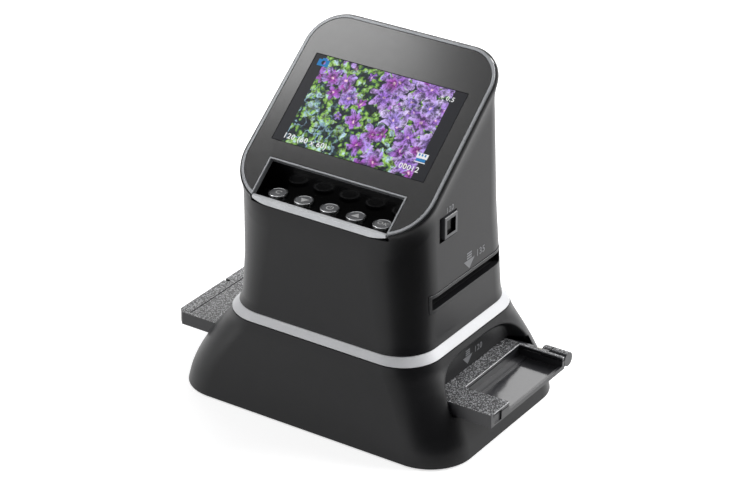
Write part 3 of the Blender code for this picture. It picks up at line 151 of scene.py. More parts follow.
# Keys and the lip in front of them
SHELF_Z = 120.8 * MM
KEY_NAMES = ("menu", "down", "power", "up", "ok")
KEY_PITCH = 16.4 * MM
KEY_Y = -36.4 * MM
KEY_RADIUS = 5.25 * MM
KEY_TOP_Z = 122.1 * MM
KEY_RIM = 0.75 * MM
KEY_DISH = 0.12 * MM
KEY_SIDES = 48
KEY_FOOT_Z = 117.7 * MM
KEY_ROUND = 0.35 * MM
LIP_HALF_X = 41.9 * MM
LIP_TAPER_X = 28 * MM
LIP_TAPER = 1.6 * MM
LIP_TOP_Z = 122.6 * MM
LIP_BOTTOM_Z = 119.4 * MM
LIP_ROUND = 1 * MM
LIP_SEAT_DROP = 2.1 * MM
TRAY_FRONT = -45.2 * MM

# Format selector
SELECTOR_Z = 118.8 * MM
SELECTOR_OPENING = ((54 * MM, 64 * MM), (-22.7 * MM, -6.4 * MM), (111.7 * MM, 125.9 * MM))
KNOB_X = (55 * MM, 59.8 * MM)
KNOB_Y = (-19.2 * MM, -6.7 * MM)
KNOB_HALF_Z = 6.25 * MM
KNOB_FRAME = 1.5 * MM
KNOB_DISH_DEPTH = 1.6 * MM
KNOB_DISH_SLOPE = 0.3 * MM
KNOB_ROUND = 0.6 * MM

# Strip film slot
SLOT_Y = (-29 * MM, 38 * MM)
SLOT_Z = (75.8 * MM, 82.2 * MM)
SLOT_RIDGE = 1.9 * MM
SLOT_FRAME_X = 55.9 * MM
SLOT_PROUD = 0.3 * MM
SLOT_ROUND = 0.45 * MM

# Sockets at the back
SOCKET_Z = 94 * MM
USB_X = (-24.6 * MM, -15.4 * MM)
USB_HALF_Z = 1.8 * MM
CARD_X = (-1.25 * MM, 25.25 * MM)
CARD_HALF_Z = 2 * MM

# Roll film holder
HOLDER_X = 101.5 * MM
HOLDER_FRONT = -38 * MM
HOLDER_BACK = 41.5 * MM
HOLDER_LOW_Z = 23.5 * MM
HOLDER_TOP_Z = 31 * MM
LID_LEFT = -93.9 * MM
LID_FRONT = -35.6 * MM
LID_BACK = 36.7 * MM
LID_LOW_Z = 29 * MM
WELL_X = 74.5 * MM
WELL_RIM_X = 99.9 * MM
WELL_Y = (-20 * MM, 34.6 * MM)
WELL_FLOOR_Z = 24.8 * MM
WELL_STEP = 0.6 * MM
WELL_STEP_INSET = 5 * MM
WELL_RIM = 1 * MM
GATE_HALF = 28 * MM
OPTIC_Y = 3.5 * MM
HINGE_Y = 41 * MM
HINGE_Z = 27.25 * MM
HINGE_RADIUS = 4 * MM
PIN_ROOM = 1.7 * MM
PIN_START_X = 80 * MM
PIN_END_X = 99.4 * MM
PIN_SIDES = 24
KNUCKLE_SIDES = 40
WEB_INSET = 0.5 * MM
KNUCKLE = 9.5 * MM
LID_KNUCKLE = 5 * MM
KNUCKLE_GAP = 0.5 * MM
GRIP_Y = (-34.8 * MM, -27.8 * MM)
GRIP_DEPTH = 0.8 * MM
GRIP_INSET = 0.8 * MM
NAIL_NOTCH_LENGTH = 3.6 * MM
NAIL_NOTCH_Y = (4.8 * MM, 6.8 * MM)
NAIL_NOTCH_DEPTH = 1.2 * MM
TRAY_CHAMFER = 3 * MM
TRAY_ROUND = 0.25 * MM
LID_ROUND = 0.45 * MM
# Depth below the holder's top within which edge faces get painted highlights
EDGE_HIGHLIGHT_DEPTH = 0.35 * MM

# Films of ink; a sign's place is its X and Y on the screen, or its Y and Z on the right flank
INK = 0.05 * MM
CAPITAL_SHARE = 0.7
BOLD = 0.02
LETTER_SPACING = 1.12
KEY_LETTER = 3.4 * MM
KEY_WORD = 2.9 * MM
KEY_TRIANGLE = (5 * MM, 4 * MM)
POWER_RADII = (2.1 * MM, 1.5 * MM)
POWER_GAP = (-0.8 * MM, 0.8 * MM)
POWER_BAR = ((-0.3 * MM, 0.3 * MM), (0.2 * MM, 2.5 * MM))
POWER_SIDES = 40
SCREEN_FIGURES = (("format_figures", "120 (60 x 60)", 3.1 * MM, -28.2 * MM, -23.3 * MM),
                  ("count_figures", "00012", 3.1 * MM, 35.8 * MM, -21.6 * MM),
                  ("light_figures", "+ 0.5", 2.6 * MM, 37.5 * MM, 21.4 * MM))
FLANK_SIGNS = (("strip_arrow", None, 9.5 * MM, 6.4 * MM, 90.6 * MM, "tower_shell"),
               ("strip_figures", "135", 3.8 * MM, 17.5 * MM, 90.8 * MM, "tower_shell"),
               ("size_figures", "120", 3.2 * MM, -13 * MM, 128 * MM, "tower_shell"),
               ("roll_arrow", None, 8.5 * MM, -3 * MM, 38.6 * MM, "base_shell"),
               ("roll_figures", "120", 3.4 * MM, 7.5 * MM, 39 * MM, "base_shell"))
# Drawn signs on the screen: each bar's left, right, low and high edge in millimetres
CARD_PLACE = (40 * MM, -14.4 * MM)
CARD_FRAME = ((-3.3, 3.3, -0.4, 2.6), (-3.3, 3.3, -2.9, -2.4))
CARD_FILL = ((-2.8, 2.8, -2.2, -0.6),)
CARD_TEETH = tuple((left, left + 0.9, 0.9, 2.2) for left in (-2.4, -0.6, 1.2))
LENS_PLACE = (-41 * MM, 22.6 * MM)
LENS_BODY = ((-3.4, 3.4, -2.2, 1.8),)
LENS_HUMP = ((-1.4, 1.4, 1.8, 2.7),)
LENS_RADIUS = 1.3 * MM
# Arrow at a film opening, in shares of its width and height
ARROW_WIDTH = 1.1
ARROW_POINT = (0.55, -0.2)
ARROW_BAR = (0.22, 0.09)
ARROW_BAR_LOWS = (0.05, 0.2, 0.35)
FLANK = Matrix(((0, 0, 1), (1, 0, 0), (0, 1, 0))).to_4x4()

# Camera of the photograph
CAMERA_PLACE = (0.7334, -1.0956, 0.7686)
CAMERA_AZIMUTH = radians(33.9)
CAMERA_ELEVATION = radians(27.37)
CAMERA_LENS = 137.3
CAMERA_SENSOR = 36

# Studio: each lamp's place and side in metres and its power in watts
LAMPS = (("key_lamp", (0.8, 1.05, 1.0), 0.9, 26), ("top_lamp", (-0.95, -0.167, 1.4), 0.4, 4),
         ("front_lamp", (-1.1, -1.1, 0.6), 0.8, 5.5), ("back_lamp", (-1.0, 1.4, 0.95), 1.1, 9))
LAMP_AIM = Vector((0, 0, 0.09))
ROOM_LIGHT = 0.25
FLOOR_GLOW = 0.62
FIBRES_PER_METRE = 900
# Black flag: distance from the middle, width and height of its near and of its far edge
FLAG_AWAY = Vector((0.866, -0.5, 0))
FLAG_ACROSS = Vector((0.5, 0.866, 0))
FLAG_NEAR = (0.15, 0.26, 0.002)
FLAG_FAR = (0.8, 1.0, 1.1)


def linear(code):
    """The linear colour of an sRGB hex value."""
    shares = [int(code[start:start + 2], 16) / 255 for start in (1, 3, 5)]
    return tuple(share / 12.92 if share <= 0.04045 else ((share + 0.055) / 1.055) ** 2.4
                 for share in shares)


def colour_prop(name, description, code):
    return FloatVectorProperty(name=name, description=description, default=linear(code),
                               subtype="COLOR", size=3, min=0, max=1)


class ScannerColours(PropertyGroup):
    """Colours of the finishes, which a user may change before the pieces are made."""
    charcoal: colour_prop("Housing", "Moulded housing of base and tower", "#161618")
    satin: colour_prop("Trim", "Rim round the screen and selector", "#85878A")
    # The lip's pale colour also paints the highlight along its curved edge
    lip: colour_prop("Lip", "Lip in front of the keys", "#CDCFD2")
    ring: colour_prop("Light ring", "Milky ring between base and tower", "#D5D6D9")
    plate: colour_prop("Screen plate", "Glossy plate round the display", "#0B0B0D")
    keys: colour_prop("Keys", "Metallic lacquer on the five keys", "#8E8F92")
    print: colour_prop("Print", "Printed signs on keys", "#FBFBFC")
    blossom: colour_prop("Blossom", "Petals in the picture on the display", "#9A3FC8")
    leaf: colour_prop("Leaf", "Leaves in the picture on the display", "#7FB33E")


class ScannerSizes(PropertyGroup):
    """Sizes of finishing details, which a user may change before the pieces are made."""
    edge: FloatProperty(name="Edge rounding", description="Width of rounded edges of moulded parts",
                        default=0.35 * MM, min=0.05 * MM, max=1 * MM, unit="LENGTH")
    grain: FloatProperty(name="Coarse grain", description="Grit size of the holder's spark texture",
                         default=0.6 * MM, min=0.2 * MM, max=3 * MM, unit="LENGTH")
    blossom: FloatProperty(name="Blossom size", description="Width of a blossom in the picture",
                           default=12.5 * MM, min=3 * MM, max=30 * MM, unit="LENGTH")
    floor: FloatProperty(name="Floor size", description="Length of the stage's floor",
                         default=9, min=1, max=20, unit="LENGTH")


def colours():
    return bpy.context.scene.scanner_colours


def sizes():
    return bpy.context.scene.scanner_sizes


# Selecting and modelling, one step at a time as by hand

def settle():
    """Object mode with nothing selected."""
    if bpy.context.mode != "OBJECT":
        bpy.ops.object.mode_set(mode="OBJECT")
    bpy.ops.object.select_all(action="DESELECT")


def pick(*pieces):
    settle()
    for piece in pieces:
        piece.select_set(True)
    bpy.context.view_layer.objects.active = pieces[0]
    return pieces[0]


def choose(piece, kind, test):
    """Edit mode with only the vertices, edges or faces selected that pass a test."""
    pick(piece)
    bpy.ops.object.mode_set(mode="EDIT")
    bpy.ops.mesh.select_mode(type=kind)
    bpy.ops.mesh.select_all(action="DESELECT")
    data = bmesh.from_edit_mesh(piece.data)
    for part in {"VERT": data.verts, "EDGE": data.edges, "FACE": data.faces}[kind]:
        if test(part):
            part.select_set(True)
    data.select_flush_mode()
    bmesh.update_edit_mesh(piece.data)


def centre(part):
    """The middle of an edge or face."""
    return sum((corner.co for corner in part.verts), Vector()) / len(part.verts)


def block(name, x_span, y_span, z_span, seat=Matrix()):
    """A box between two corners of the seat's own axes, to be shaped further."""
    spans = (x_span, y_span, z_span)
    place = seat @ Vector([(low + high) / 2 for low, high in spans])
    settle()
    bpy.ops.mesh.primitive_cube_add(size=1, location=place, rotation=seat.to_euler(),
                                    scale=[high - low for low, high in spans])
    piece = bpy.context.active_object
    piece.name = name
    bpy.ops.object.transform_apply(location=True, rotation=True, scale=True)
    return piece


def rod(name, radius, low, high, sides=32):
    """A round bar between two points, to be shaped further."""
    axis = Vector(high) - Vector(low)
    settle()
    bpy.ops.mesh.primitive_cylinder_add(vertices=sides, radius=radius, depth=axis.length,
                                        location=(Vector(low) + Vector(high)) / 2,
                                        rotation=axis.to_track_quat("Z", "Y").to_euler())
    piece = bpy.context.active_object
    piece.name = name
    bpy.ops.object.transform_apply(location=True, rotation=True, scale=True)
    return piece


def turn_out(piece, merge=False):
    """Every face turned outwards, after doubles are merged where asked."""
    pick(piece)
    bpy.ops.object.mode_set(mode="EDIT")
    bpy.ops.mesh.select_all(action="SELECT")
    if merge:
        bpy.ops.mesh.remove_doubles(threshold=MERGE)
    bpy.ops.mesh.normals_make_consistent(inside=False)
    bpy.ops.object.mode_set(mode="OBJECT")
    return piece


def place_plan(piece, seat):
    """Set a piece that was drawn flat at the origin into its seat."""
    pick(piece)
    piece.matrix_world = seat
    bpy.ops.object.transform_apply(location=True, rotation=True, scale=True)
    return piece


def rounded_plate(name, plan, low, high, seat=Matrix()):
    """A plate with rounded corners: plan is front and back half widths, front, back and radii."""
    half_front, half_back, front, back, front_corner, back_corner = plan
    settle()
    bpy.ops.mesh.primitive_plane_add(size=1, location=(0, (front + back) / 2, low))
    piece = bpy.context.active_object
    piece.name = name
    piece.scale = (2 * half_front, back - front, 1)
    bpy.ops.object.transform_apply(location=True, rotation=True, scale=True)
    middle = (front + back) / 2
    choose(piece, "VERT", lambda part: part.co.y > middle)
    bpy.ops.transform.resize(value=(half_back / half_front, 1, 1))
    for side, radius in ((1, back_corner), (-1, front_corner)):
        choose(piece, "VERT", lambda part: (part.co.y - middle) * side > (back - front) * 0.45)
        bpy.ops.mesh.bevel(affect="VERTICES", offset_type="ABSOLUTE", offset=radius,
                           segments=CORNER_STEPS, profile=0.5, clamp_overlap=False)
    choose(piece, "FACE", lambda part: True)
    bpy.ops.mesh.extrude_region_move(TRANSFORM_OT_translate={"value": (0, 0, high - low)})
    return place_plan(turn_out(piece), seat)


def apply_modifier(piece, kind, **settings):
    pick(piece)
    change = piece.modifiers.new(kind.lower(), kind)
    for name, value in settings.items():
        setattr(change, name, value)
    bpy.ops.object.modifier_apply(modifier=change.name)
    return piece


def cut(piece, *tools):
    for tool in tools:
        apply_modifier(piece, "BOOLEAN", operation="DIFFERENCE", solver="EXACT", object=tool)
        bpy.data.objects.remove(tool, do_unlink=True)
    return piece


def weld(piece, *tools):
    for tool in tools:
        apply_modifier(piece, "BOOLEAN", operation="UNION", solver="EXACT", object=tool)
        bpy.data.objects.remove(tool, do_unlink=True)
    return piece


def keep(piece, tool):
    apply_modifier(piece, "BOOLEAN", operation="INTERSECT", solver="EXACT", object=tool)
    bpy.data.objects.remove(tool, do_unlink=True)
    return piece


def soften(piece, width=None, segments=3, angle=FINE_ANGLE):
    """Round the edges of a moulded piece, as its tool leaves them."""
    return apply_modifier(piece, "BEVEL", width=width or sizes().edge, segments=segments,
                          limit_method="ANGLE", angle_limit=angle, use_clamp_overlap=True,
                          miter_outer="MITER_ARC")


def smooth(piece, angle=FINE_ANGLE):
    """Smooth shading up to an angle, in which the large faces stay flat."""
    pick(piece)
    bpy.ops.object.shade_smooth_by_angle(angle=angle)
    return apply_modifier(piece, "WEIGHTED_NORMAL", keep_sharp=True, weight=80)


def draped(name, rows):
    """A skin over rows of points: a grid whose last column meets its first."""
    columns = len(rows[0])
    settle()
    bpy.ops.mesh.primitive_grid_add(x_subdivisions=columns, y_subdivisions=len(rows) - 1, size=2)
    piece = bpy.context.active_object
    piece.name = name
    for vertex in piece.data.vertices:
        column = round((vertex.co.x + 1) / 2 * columns) % columns
        row = round((vertex.co.y + 1) / 2 * (len(rows) - 1))
        vertex.co = rows[row][column]
    return turn_out(piece, merge=True)


def close_ends(piece):
    """Fill the open ends of a skin."""
    choose(piece, "EDGE", lambda part: part.is_boundary)
    bpy.ops.mesh.edge_face_add()
    return turn_out(piece)


def corner_points(x, y, radius, start_turns, steps=CORNER_STEPS):
    turns = [(start_turns + step / steps) * pi / 2 for step in range(steps + 1)]
    return [(x + radius * cos(turn), y + radius * sin(turn)) for turn in turns]


def plan_points(half_front, half_back, front, back, front_corner, back_corner, side_steps=1,
                steps=CORNER_STEPS):
    """A rounded plan anticlockwise from the right, with steps along its two long sides."""
    right_back = corner_points(half_back - back_corner, back - back_corner, back_corner, 0, steps)
    right_front = corner_points(half_front - front_corner, front + front_corner, front_corner, 3,
                                steps)
    start, end = right_front[-1], right_back[0]
    side = [(start[0] + (end[0] - start[0]) * step / side_steps,
             start[1] + (end[1] - start[1]) * step / side_steps) for step in range(1, side_steps)]
    left_back = [(-x, y) for x, y in reversed(right_back)]
    left_front = [(-x, y) for x, y in reversed(right_front)]
    left_side = [(-x, y) for x, y in reversed(side)]
    return right_back + left_back + left_side + left_front + right_front + side


def inset_plan(plan, inset):
    half_front, half_back, front, back, front_corner, back_corner = plan
    return (half_front - inset, half_back - inset, front + inset, back - inset,
            front_corner - inset, back_corner - inset)


def even_plan(half, front, back, corner):
    """The full plan of a shape whose front and back are equally wide and round."""
    return half, half, front, back, corner, corner


def level(points, height):
    return [Vector((x, y, height)) for x, y in points]


def seated(points, seat, depth=0.0):
    return [seat @ Vector((x, y, -depth)) for x, y in points]


def between(low, high, share):
    return low + (high - low) * share


def smooth_least(first, second, reach):
    """The smaller of two lengths, with the corner between them rounded."""
    share = max(reach - abs(first - second), 0) / reach
    return min(first, second) - share * share * reach / 4


def finish(piece, body, slot, looks, *nodes):
    """Give a piece its finishes and body, and hide the nodes that it stands for; the slot is not
    used.
    """
    settle()
    piece.data.materials.clear()
    for look in looks if isinstance(looks, tuple) else (looks,):
        piece.data.materials.append(made_finish(look))
    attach(piece, body)
    if nodes:
        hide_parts(*nodes)
    return piece


def paint(piece, index, test):
    """Give the faces that pass a test another of the piece's materials."""
    for face in piece.data.polygons:
        if test(face):
            face.material_index = index


def join(name, *pieces):
    pick(*pieces)
    bpy.ops.object.join()
    pieces[0].name = name
    return pieces[0]


def figures(name, text, height, seat):
    """Figures or letters as a film of ink, centred on their seat."""
    settle()
    bpy.ops.object.text_add()
    piece = bpy.context.active_object
    piece.name = name
    piece.data.body = text
    piece.data.size = height / CAPITAL_SHARE
    piece.data.align_x, piece.data.align_y = "CENTER", "CENTER"
    piece.data.space_character = LETTER_SPACING
    piece.data.offset = BOLD * height
    piece.data.extrude = INK / 2
    piece.data.resolution_u = 4
    bpy.ops.object.convert(target="MESH")
    return place_plan(turn_out(piece, merge=True), seat)


def ink_triangle(name, width, height, up, seat):
    """A triangle of ink that points up or down its seat."""
    settle()
    bpy.ops.mesh.primitive_cylinder_add(vertices=3, radius=1, depth=INK)
    piece = bpy.context.active_object
    piece.name = name
    piece.scale = (width / 3 ** 0.5, height / 1.5 * (1 if up else -1), 1)
    bpy.ops.object.transform_apply(location=True, rotation=True, scale=True)
    return place_plan(turn_out(piece), seat)


def ink_bar(x_span, y_span, seat):
    return place_plan(block("ink_bar", x_span, y_span, (-INK / 2, INK / 2)), seat)


def ink_bars(spans, seat):
    """Bars of ink from their left, right, low and high edges in millimetres."""
    return [ink_bar((left * MM, right * MM), (low * MM, high * MM), seat)
            for left, right, low, high in spans]


def slot_arrow(name, width, height, seat):
    """An arrow of three bars and a point, which shows where film or holder goes in."""
    point, drop = ARROW_POINT
    half, thick = ARROW_BAR
    head = ink_triangle(name, width, height * point, False,
                        seat @ Matrix.Translation((0, drop * height, 0)))
    bars = [ink_bar((-half * width, half * width), (low * height, (low + thick) * height), seat)
            for low in ARROW_BAR_LOWS]
    return join(name, head, *bars)


def laid_on(piece, shell):
    """Lay a film of ink on a housing's right flank, following its surface."""
    middle = sum(vertex.co.x for vertex in piece.data.vertices) / len(piece.data.vertices)
    for vertex in piece.data.vertices:
        found, place, _, _ = shell.ray_cast(Vector((HOLDER_X, *vertex.co.yz)), Vector((-1, 0, 0)))
        if not found:
            raise RuntimeError(piece.name + " misses the housing")
        vertex.co.x = place.x + INK + (vertex.co.x - middle)
    return piece


# Finishes

FINISHES = {}


def add_node(tree, kind, links=None, **settings):
    """One node with its settings and what feeds its sockets: values, hex colours or nodes."""
    made = tree.nodes.new("ShaderNode" + kind)
    for name, value in settings.items():
        setattr(made, name, value)
    for socket, value in (links or {}).items():
        if isinstance(value, bpy.types.Node):
            value = next(output for output in value.outputs if output.enabled)
        if isinstance(value, bpy.types.NodeSocket):
            tree.links.new(value, made.inputs[socket])
        else:
            plain = (*linear(value), 1) if isinstance(value, str) else value
            made.inputs[socket].default_value = plain
    return made


def new_finish(name, **sockets):
    """A material with its shader; constants are set on the shader's own sockets."""
    made = bpy.data.materials.new(name)
    made.use_nodes = True
    shader = made.node_tree.nodes["Principled BSDF"]
    for socket, value in sockets.items():
        if socket.endswith("Color"):
            value = (*value, 1)
        shader.inputs[socket.replace("_", " ")].default_value = value
    FINISHES[name] = made
    return made.node_tree, shader


def tinted(colour, factor):
    return (*(min(1, share * factor) for share in colour), 1)


def speckle(tree, shader, colour, grain, spread, bump, roughness, roughness_spread, detail=3,
            height_share=0.25):
    """Grain of a real size in colour, gloss and height, on the object's own axes."""
    place = add_node(tree, "TexCoord").outputs["Object"]
    grit = add_node(tree, "TexNoise", {"Vector": place, "Scale": 1 / grain, "Detail": detail,
                                       "Roughness": 0.55})
    cloud = add_node(tree, "TexNoise", {"Vector": place, "Scale": 0.04 / grain, "Detail": 2})
    both = add_node(tree, "Math", {0: grit, 1: cloud}, operation="ADD")
    share = add_node(tree, "MapRange", {"Value": both, "From Min": 0.75, "From Max": 1.25})
    tone = add_node(tree, "Mix", {0: share, 6: tinted(colour, 1 - spread),
                                  7: tinted(colour, 1 + spread)}, data_type="RGBA")
    gloss = add_node(tree, "MapRange", {"Value": grit, "From Min": 0.3, "From Max": 0.7,
                                        "To Min": roughness - roughness_spread,
                                        "To Max": roughness + roughness_spread})
    height = add_node(tree, "Bump", {"Height": grit, "Strength": bump,
                                     "Distance": grain * height_share})
    tree.links.new(tone.outputs[2], shader.inputs["Base Color"])
    tree.links.new(gloss.outputs[0], shader.inputs["Roughness"])
    tree.links.new(height.outputs[0], shader.inputs["Normal"])


def made_finish(look):
    """A finish by its name; all of them are made when the first is asked for."""
    if not FINISHES:
        make_finishes()
    return FINISHES[look]


def finish_rows():
    """Name, colour, grain, spread of tone, bump, roughness, its spread, the shader's values."""
    shades = colours()
    return (
        # Moulded ABS with a fine etched grain: deep charcoal with a broad soft sheen.
        # The real grain is about 0.1 mm; it is drawn at 0.5 mm so that it shows.
        ("etched_charcoal_abs", shades.charcoal, 0.5 * MM, 0.1, 0.12, 0.37, 0.05,
         {"IOR": 1.52, "Specular_IOR_Level": 0.26}),
        # Smooth moulded ABS on the holder's sides: paler than the housing, with a tighter sheen
        ("smooth_charcoal_abs", "#242427", 0.6 * MM, 0.07, 0.04, 0.34, 0.04, {"IOR": 1.52}),
        # Satin lacquered ABS on the screen's rim: a soft metallic grey
        ("satin_lacquer", shades.satin, 0.35 * MM, 0.08, 0.05, 0.34, 0.05,
         {"Metallic": 0.35, "IOR": 1.5}),
        # Pearl lacquered ABS of the lip in front of the keys: pale, softly shining; its colour is
        # made paler still to paint the highlight along its curved edge
        ("pearl_lacquer", shades.lip, 0.35 * MM, 0.08, 0.05, 0.32, 0.05,
         {"Metallic": 0.25, "IOR": 1.5}),
        # Painted highlights on the holder's rounded top edges: a pale glossy grey where the lamps
        # would catch the small bevels
        ("painted_highlight_edge_abs", "#A9AAAD", 0.6 * MM, 0.1, 0.02, 0.22, 0.05, {"IOR": 1.52}),
        # Painted highlights on the rounded edges of the slot frames: a lighter glossy charcoal where
        # the lamps would catch them
        ("painted_highlight_charcoal_abs", "#4A4B4E", 0.6 * MM, 0.1, 0.02, 0.26, 0.05, {"IOR": 1.52}),
        # Darker satin ABS of the format selector: a dim, even sheen
        ("dark_satin_abs", "#3C3D40", 0.35 * MM, 0.08, 0.05, 0.32, 0.05, {"IOR": 1.5}),
        # Gloss black acrylic round the display: deep black under clear reflections
        ("gloss_acrylic", shades.plate, 3 * MM, 0.15, 0.0, 0.14, 0.01, {"IOR": 1.49}),
        # Polished black ABS inside the key pocket: mirrors the keys dimly
        ("polished_black_abs", "#060607", 2 * MM, 0.2, 0.01, 0.16, 0.03,
         {"IOR": 1.52, "Specular_IOR_Level": 0.1}),
        # Opal polycarbonate light ring: milky, light enters and spreads under the skin
        ("opal_polycarbonate", shades.ring, 1.5 * MM, 0.025, 0.03, 0.42, 0.04,
         {"IOR": 1.58, "Subsurface_Weight": 0.35, "Subsurface_Radius": (3 * MM, 3 * MM, 3 * MM),
          "Subsurface_Scale": 1.0}),
        # Metallic lacquer with fine flakes on the keys' faces; flakes drawn at 0.25 mm
        ("flake_lacquer", shades.keys, 0.25 * MM, 0.12, 0.1, 0.36, 0.08, {"Metallic": 0.1}),
        # Bright turned rim of each key: a thin ring of light
        ("bright_turned_metal", "#D8D9DB", 0.3 * MM, 0.06, 0.05, 0.22, 0.05, {"Metallic": 0.9}),
        # Screen print in white ink on the keys: flat and pale
        ("light_ink", shades.print, 0.3 * MM, 0.08, 0.05, 0.5, 0.05, {"IOR": 1.48}),
        # Dim grey ink of the signs on the housing: flat, a little paler than the plastic
        ("dim_ink", "#77787B", 0.3 * MM, 0.12, 0.05, 0.5, 0.05, {"IOR": 1.48}),
        # Plain moulded black ABS of hidden frames and tunnels: dull, it swallows light
        ("matt_black_abs", "#101012", 0.5 * MM, 0.15, 0.15, 0.55, 0.06, {"IOR": 1.52}),
        # Glossy smoked floor of the holder's well: it mirrors the room dimly
        ("smoked_gloss_abs", "#38383B", 2 * MM, 0.1, 0.0, 0.11, 0.03, {"IOR": 1.53}),
        # Nickel plated steel: fine scratches of turning and plating
        ("nickel_plated_steel", "#B9B7B0", 0.3 * MM, 0.08, 0.12, 0.28, 0.08, {"Metallic": 1.0}),
        # Nitrile rubber feet: dull, a little dusty
        ("nitrile_rubber", "#19191A", 0.6 * MM, 0.25, 0.25, 0.82, 0.08, {"IOR": 1.45}),
        # White polycarbonate of the lamp box and its board: bright and soft
        ("white_polycarbonate", "#E3E4E2", 0.8 * MM, 0.03, 0.05, 0.5, 0.04, {"IOR": 1.58}),
        # Dark glass of the display round its picture: near black, with clear reflections
        ("display_glass", "#0A0C12", 1.5 * MM, 0.1, 0.0, 0.14, 0.02, {"IOR": 1.5}),
    )


def make_finishes():
    for name, colour, grain, spread, bump, roughness, roughness_spread, values in finish_rows():
        tree, shader = new_finish(name, **values)
        colour = linear(colour) if isinstance(colour, str) else tuple(colour)
        speckle(tree, shader, colour, grain, spread, bump, roughness, roughness_spread)
    make_spark_finish()
    make_lit_finishes()
    make_board_finish()
    make_picture_finish()


def make_spark_finish():
    # Coarse spark-eroded ABS on the holder's top: glittering grit
    tree, shader = new_finish("spark_textured_abs", IOR=1.52)
    speckle(tree, shader, linear("#29292B"), sizes().grain, 0.6, 1.0, 0.38, 0.12, 2, 0.7)
    add_specks(tree, shader, sizes().grain)


def make_lit_finishes():
    # Figures and signs that the display shows: they glow, with the display's fine rows
    for name, code in (("lit_figures", "#EDEEF0"), ("lit_blue", "#2E7FBE")):
        tree, shader = new_finish(name, IOR=1.5, Specular_IOR_Level=0.1, Emission_Strength=1.0,
                                  Base_Color=linear("#101114"))
        place = add_node(tree, "TexCoord").outputs["Object"]
        rows = add_node(tree, "TexWave", {"Vector": place, "Scale": 0.8 / MM}, bands_direction="X")
        tone = add_node(tree, "Mix", {0: rows.outputs[1], 6: tinted(linear(code), 0.85),
                                      7: tinted(linear(code), 1.0)}, data_type="RGBA")
        tree.links.new(tone.outputs[2], shader.inputs["Emission Color"])


def add_specks(tree, shader, grain):
    """Bright tops of single grits, where the light catches them."""
    place = add_node(tree, "TexCoord").outputs["Object"]
    grits = add_node(tree, "TexVoronoi", {"Vector": place, "Scale": 1 / grain})
    lot = add_node(tree, "SeparateColor", {0: grits.outputs["Color"]}).outputs[0]
    chosen = add_node(tree, "MapRange", {"Value": lot, "From Min": 0.5, "From Max": 0.7})
    top = add_node(tree, "MapRange", {"Value": grits.outputs["Distance"], "From Min": 0.7,
                                      "From Max": 0.45})
    share = add_node(tree, "Math", {0: chosen, 1: top}, operation="MULTIPLY")
    under = shader.inputs["Base Color"].links[0].from_socket
    tone = add_node(tree, "Mix", {0: share, 6: under, 7: "#B9BABD"},
                    data_type="RGBA")
    tree.links.new(tone.outputs[2], shader.inputs["Base Color"])


def make_board_finish():
    # Glass-epoxy board under green solder mask: copper tracks show as paler lines
    tree, shader = new_finish("solder_mask_board", IOR=1.5, Roughness=0.35)
    place = add_node(tree, "TexCoord").outputs["Object"]
    tracks = add_node(tree, "TexBrick", {"Vector": place, "Scale": 160, "Mortar Size": 0.03,
                                         "Color1": "#0F4A2A",
                                         "Color2": "#135231",
                                         "Mortar": "#2F7A4A"})
    lift = add_node(tree, "Bump", {"Height": tracks.outputs["Fac"], "Strength": 0.3,
                                   "Distance": 0.05 * MM})
    tree.links.new(tracks.outputs["Color"], shader.inputs["Base Color"])
    tree.links.new(lift.outputs[0], shader.inputs["Normal"])


def make_picture_finish():
    """A lit display with a made-up flower bed: blossoms over leaves, twigs and shade."""
    shades = colours()
    tree, shader = new_finish("lit_picture", Roughness=0.3, IOR=1.5, Base_Color=(0.01, 0.01, 0.012),
                              Specular_IOR_Level=0.12, Emission_Strength=1.0)
    place = add_node(tree, "TexCoord").outputs["Object"]
    flat = add_node(tree, "Mapping", {"Vector": place, "Location": PANEL.translation,
                                      "Rotation": (TILT, 0, 0)}, vector_type="TEXTURE")
    size = sizes().blossom
    shake = add_node(tree, "TexNoise", {"Vector": flat, "Scale": 2.2 / size, "Detail": 3})
    middle = add_node(tree, "VectorMath", {0: shake.outputs["Color"], 1: (0.5, 0.5, 0.5)},
                      operation="SUBTRACT")
    push = add_node(tree, "VectorMath", {0: middle, "Scale": 0.42 * size}, operation="SCALE")
    warped = add_node(tree, "VectorMath", {0: flat, 1: push}, operation="ADD")
    picture = picture_leaves(tree, flat, warped, size)
    picture = picture_twigs(tree, flat, picture, size)
    for grow, shift, petals in ((1.25, 3.7 * size, 5), (1.0, 0.0, 5), (0.8, 8.3 * size, 6)):
        picture = picture_blossoms(tree, warped, picture, grow / size, shift, petals,
                                   (*shades.blossom, 1))
    mottle = add_node(tree, "TexNoise", {"Vector": warped, "Scale": 4.5 / size, "Detail": 4,
                                         "Roughness": 0.7})
    shadow = add_node(tree, "MapRange", {"Value": mottle, "From Min": 0.4, "From Max": 0.58,
                                         "To Min": 0.16, "To Max": 1.15})
    picture = add_node(tree, "Mix", {0: 1.0, 6: picture, 7: shadow}, data_type="RGBA",
                       blend_type="MULTIPLY")
    across = add_node(tree, "SeparateXYZ", {0: flat}).outputs[0]
    right = add_node(tree, "Math", {0: across, 1: PHOTO_LEFT}, operation="GREATER_THAN")
    left = add_node(tree, "Math", {0: across, 1: PHOTO_RIGHT}, operation="LESS_THAN")
    lit = add_node(tree, "Math", {0: right, 1: left}, operation="MULTIPLY")
    glow = add_node(tree, "Mix", {0: lit, 6: "#131419", 7: picture},
                    data_type="RGBA")
    tree.links.new(glow.outputs[2], shader.inputs["Emission Color"])


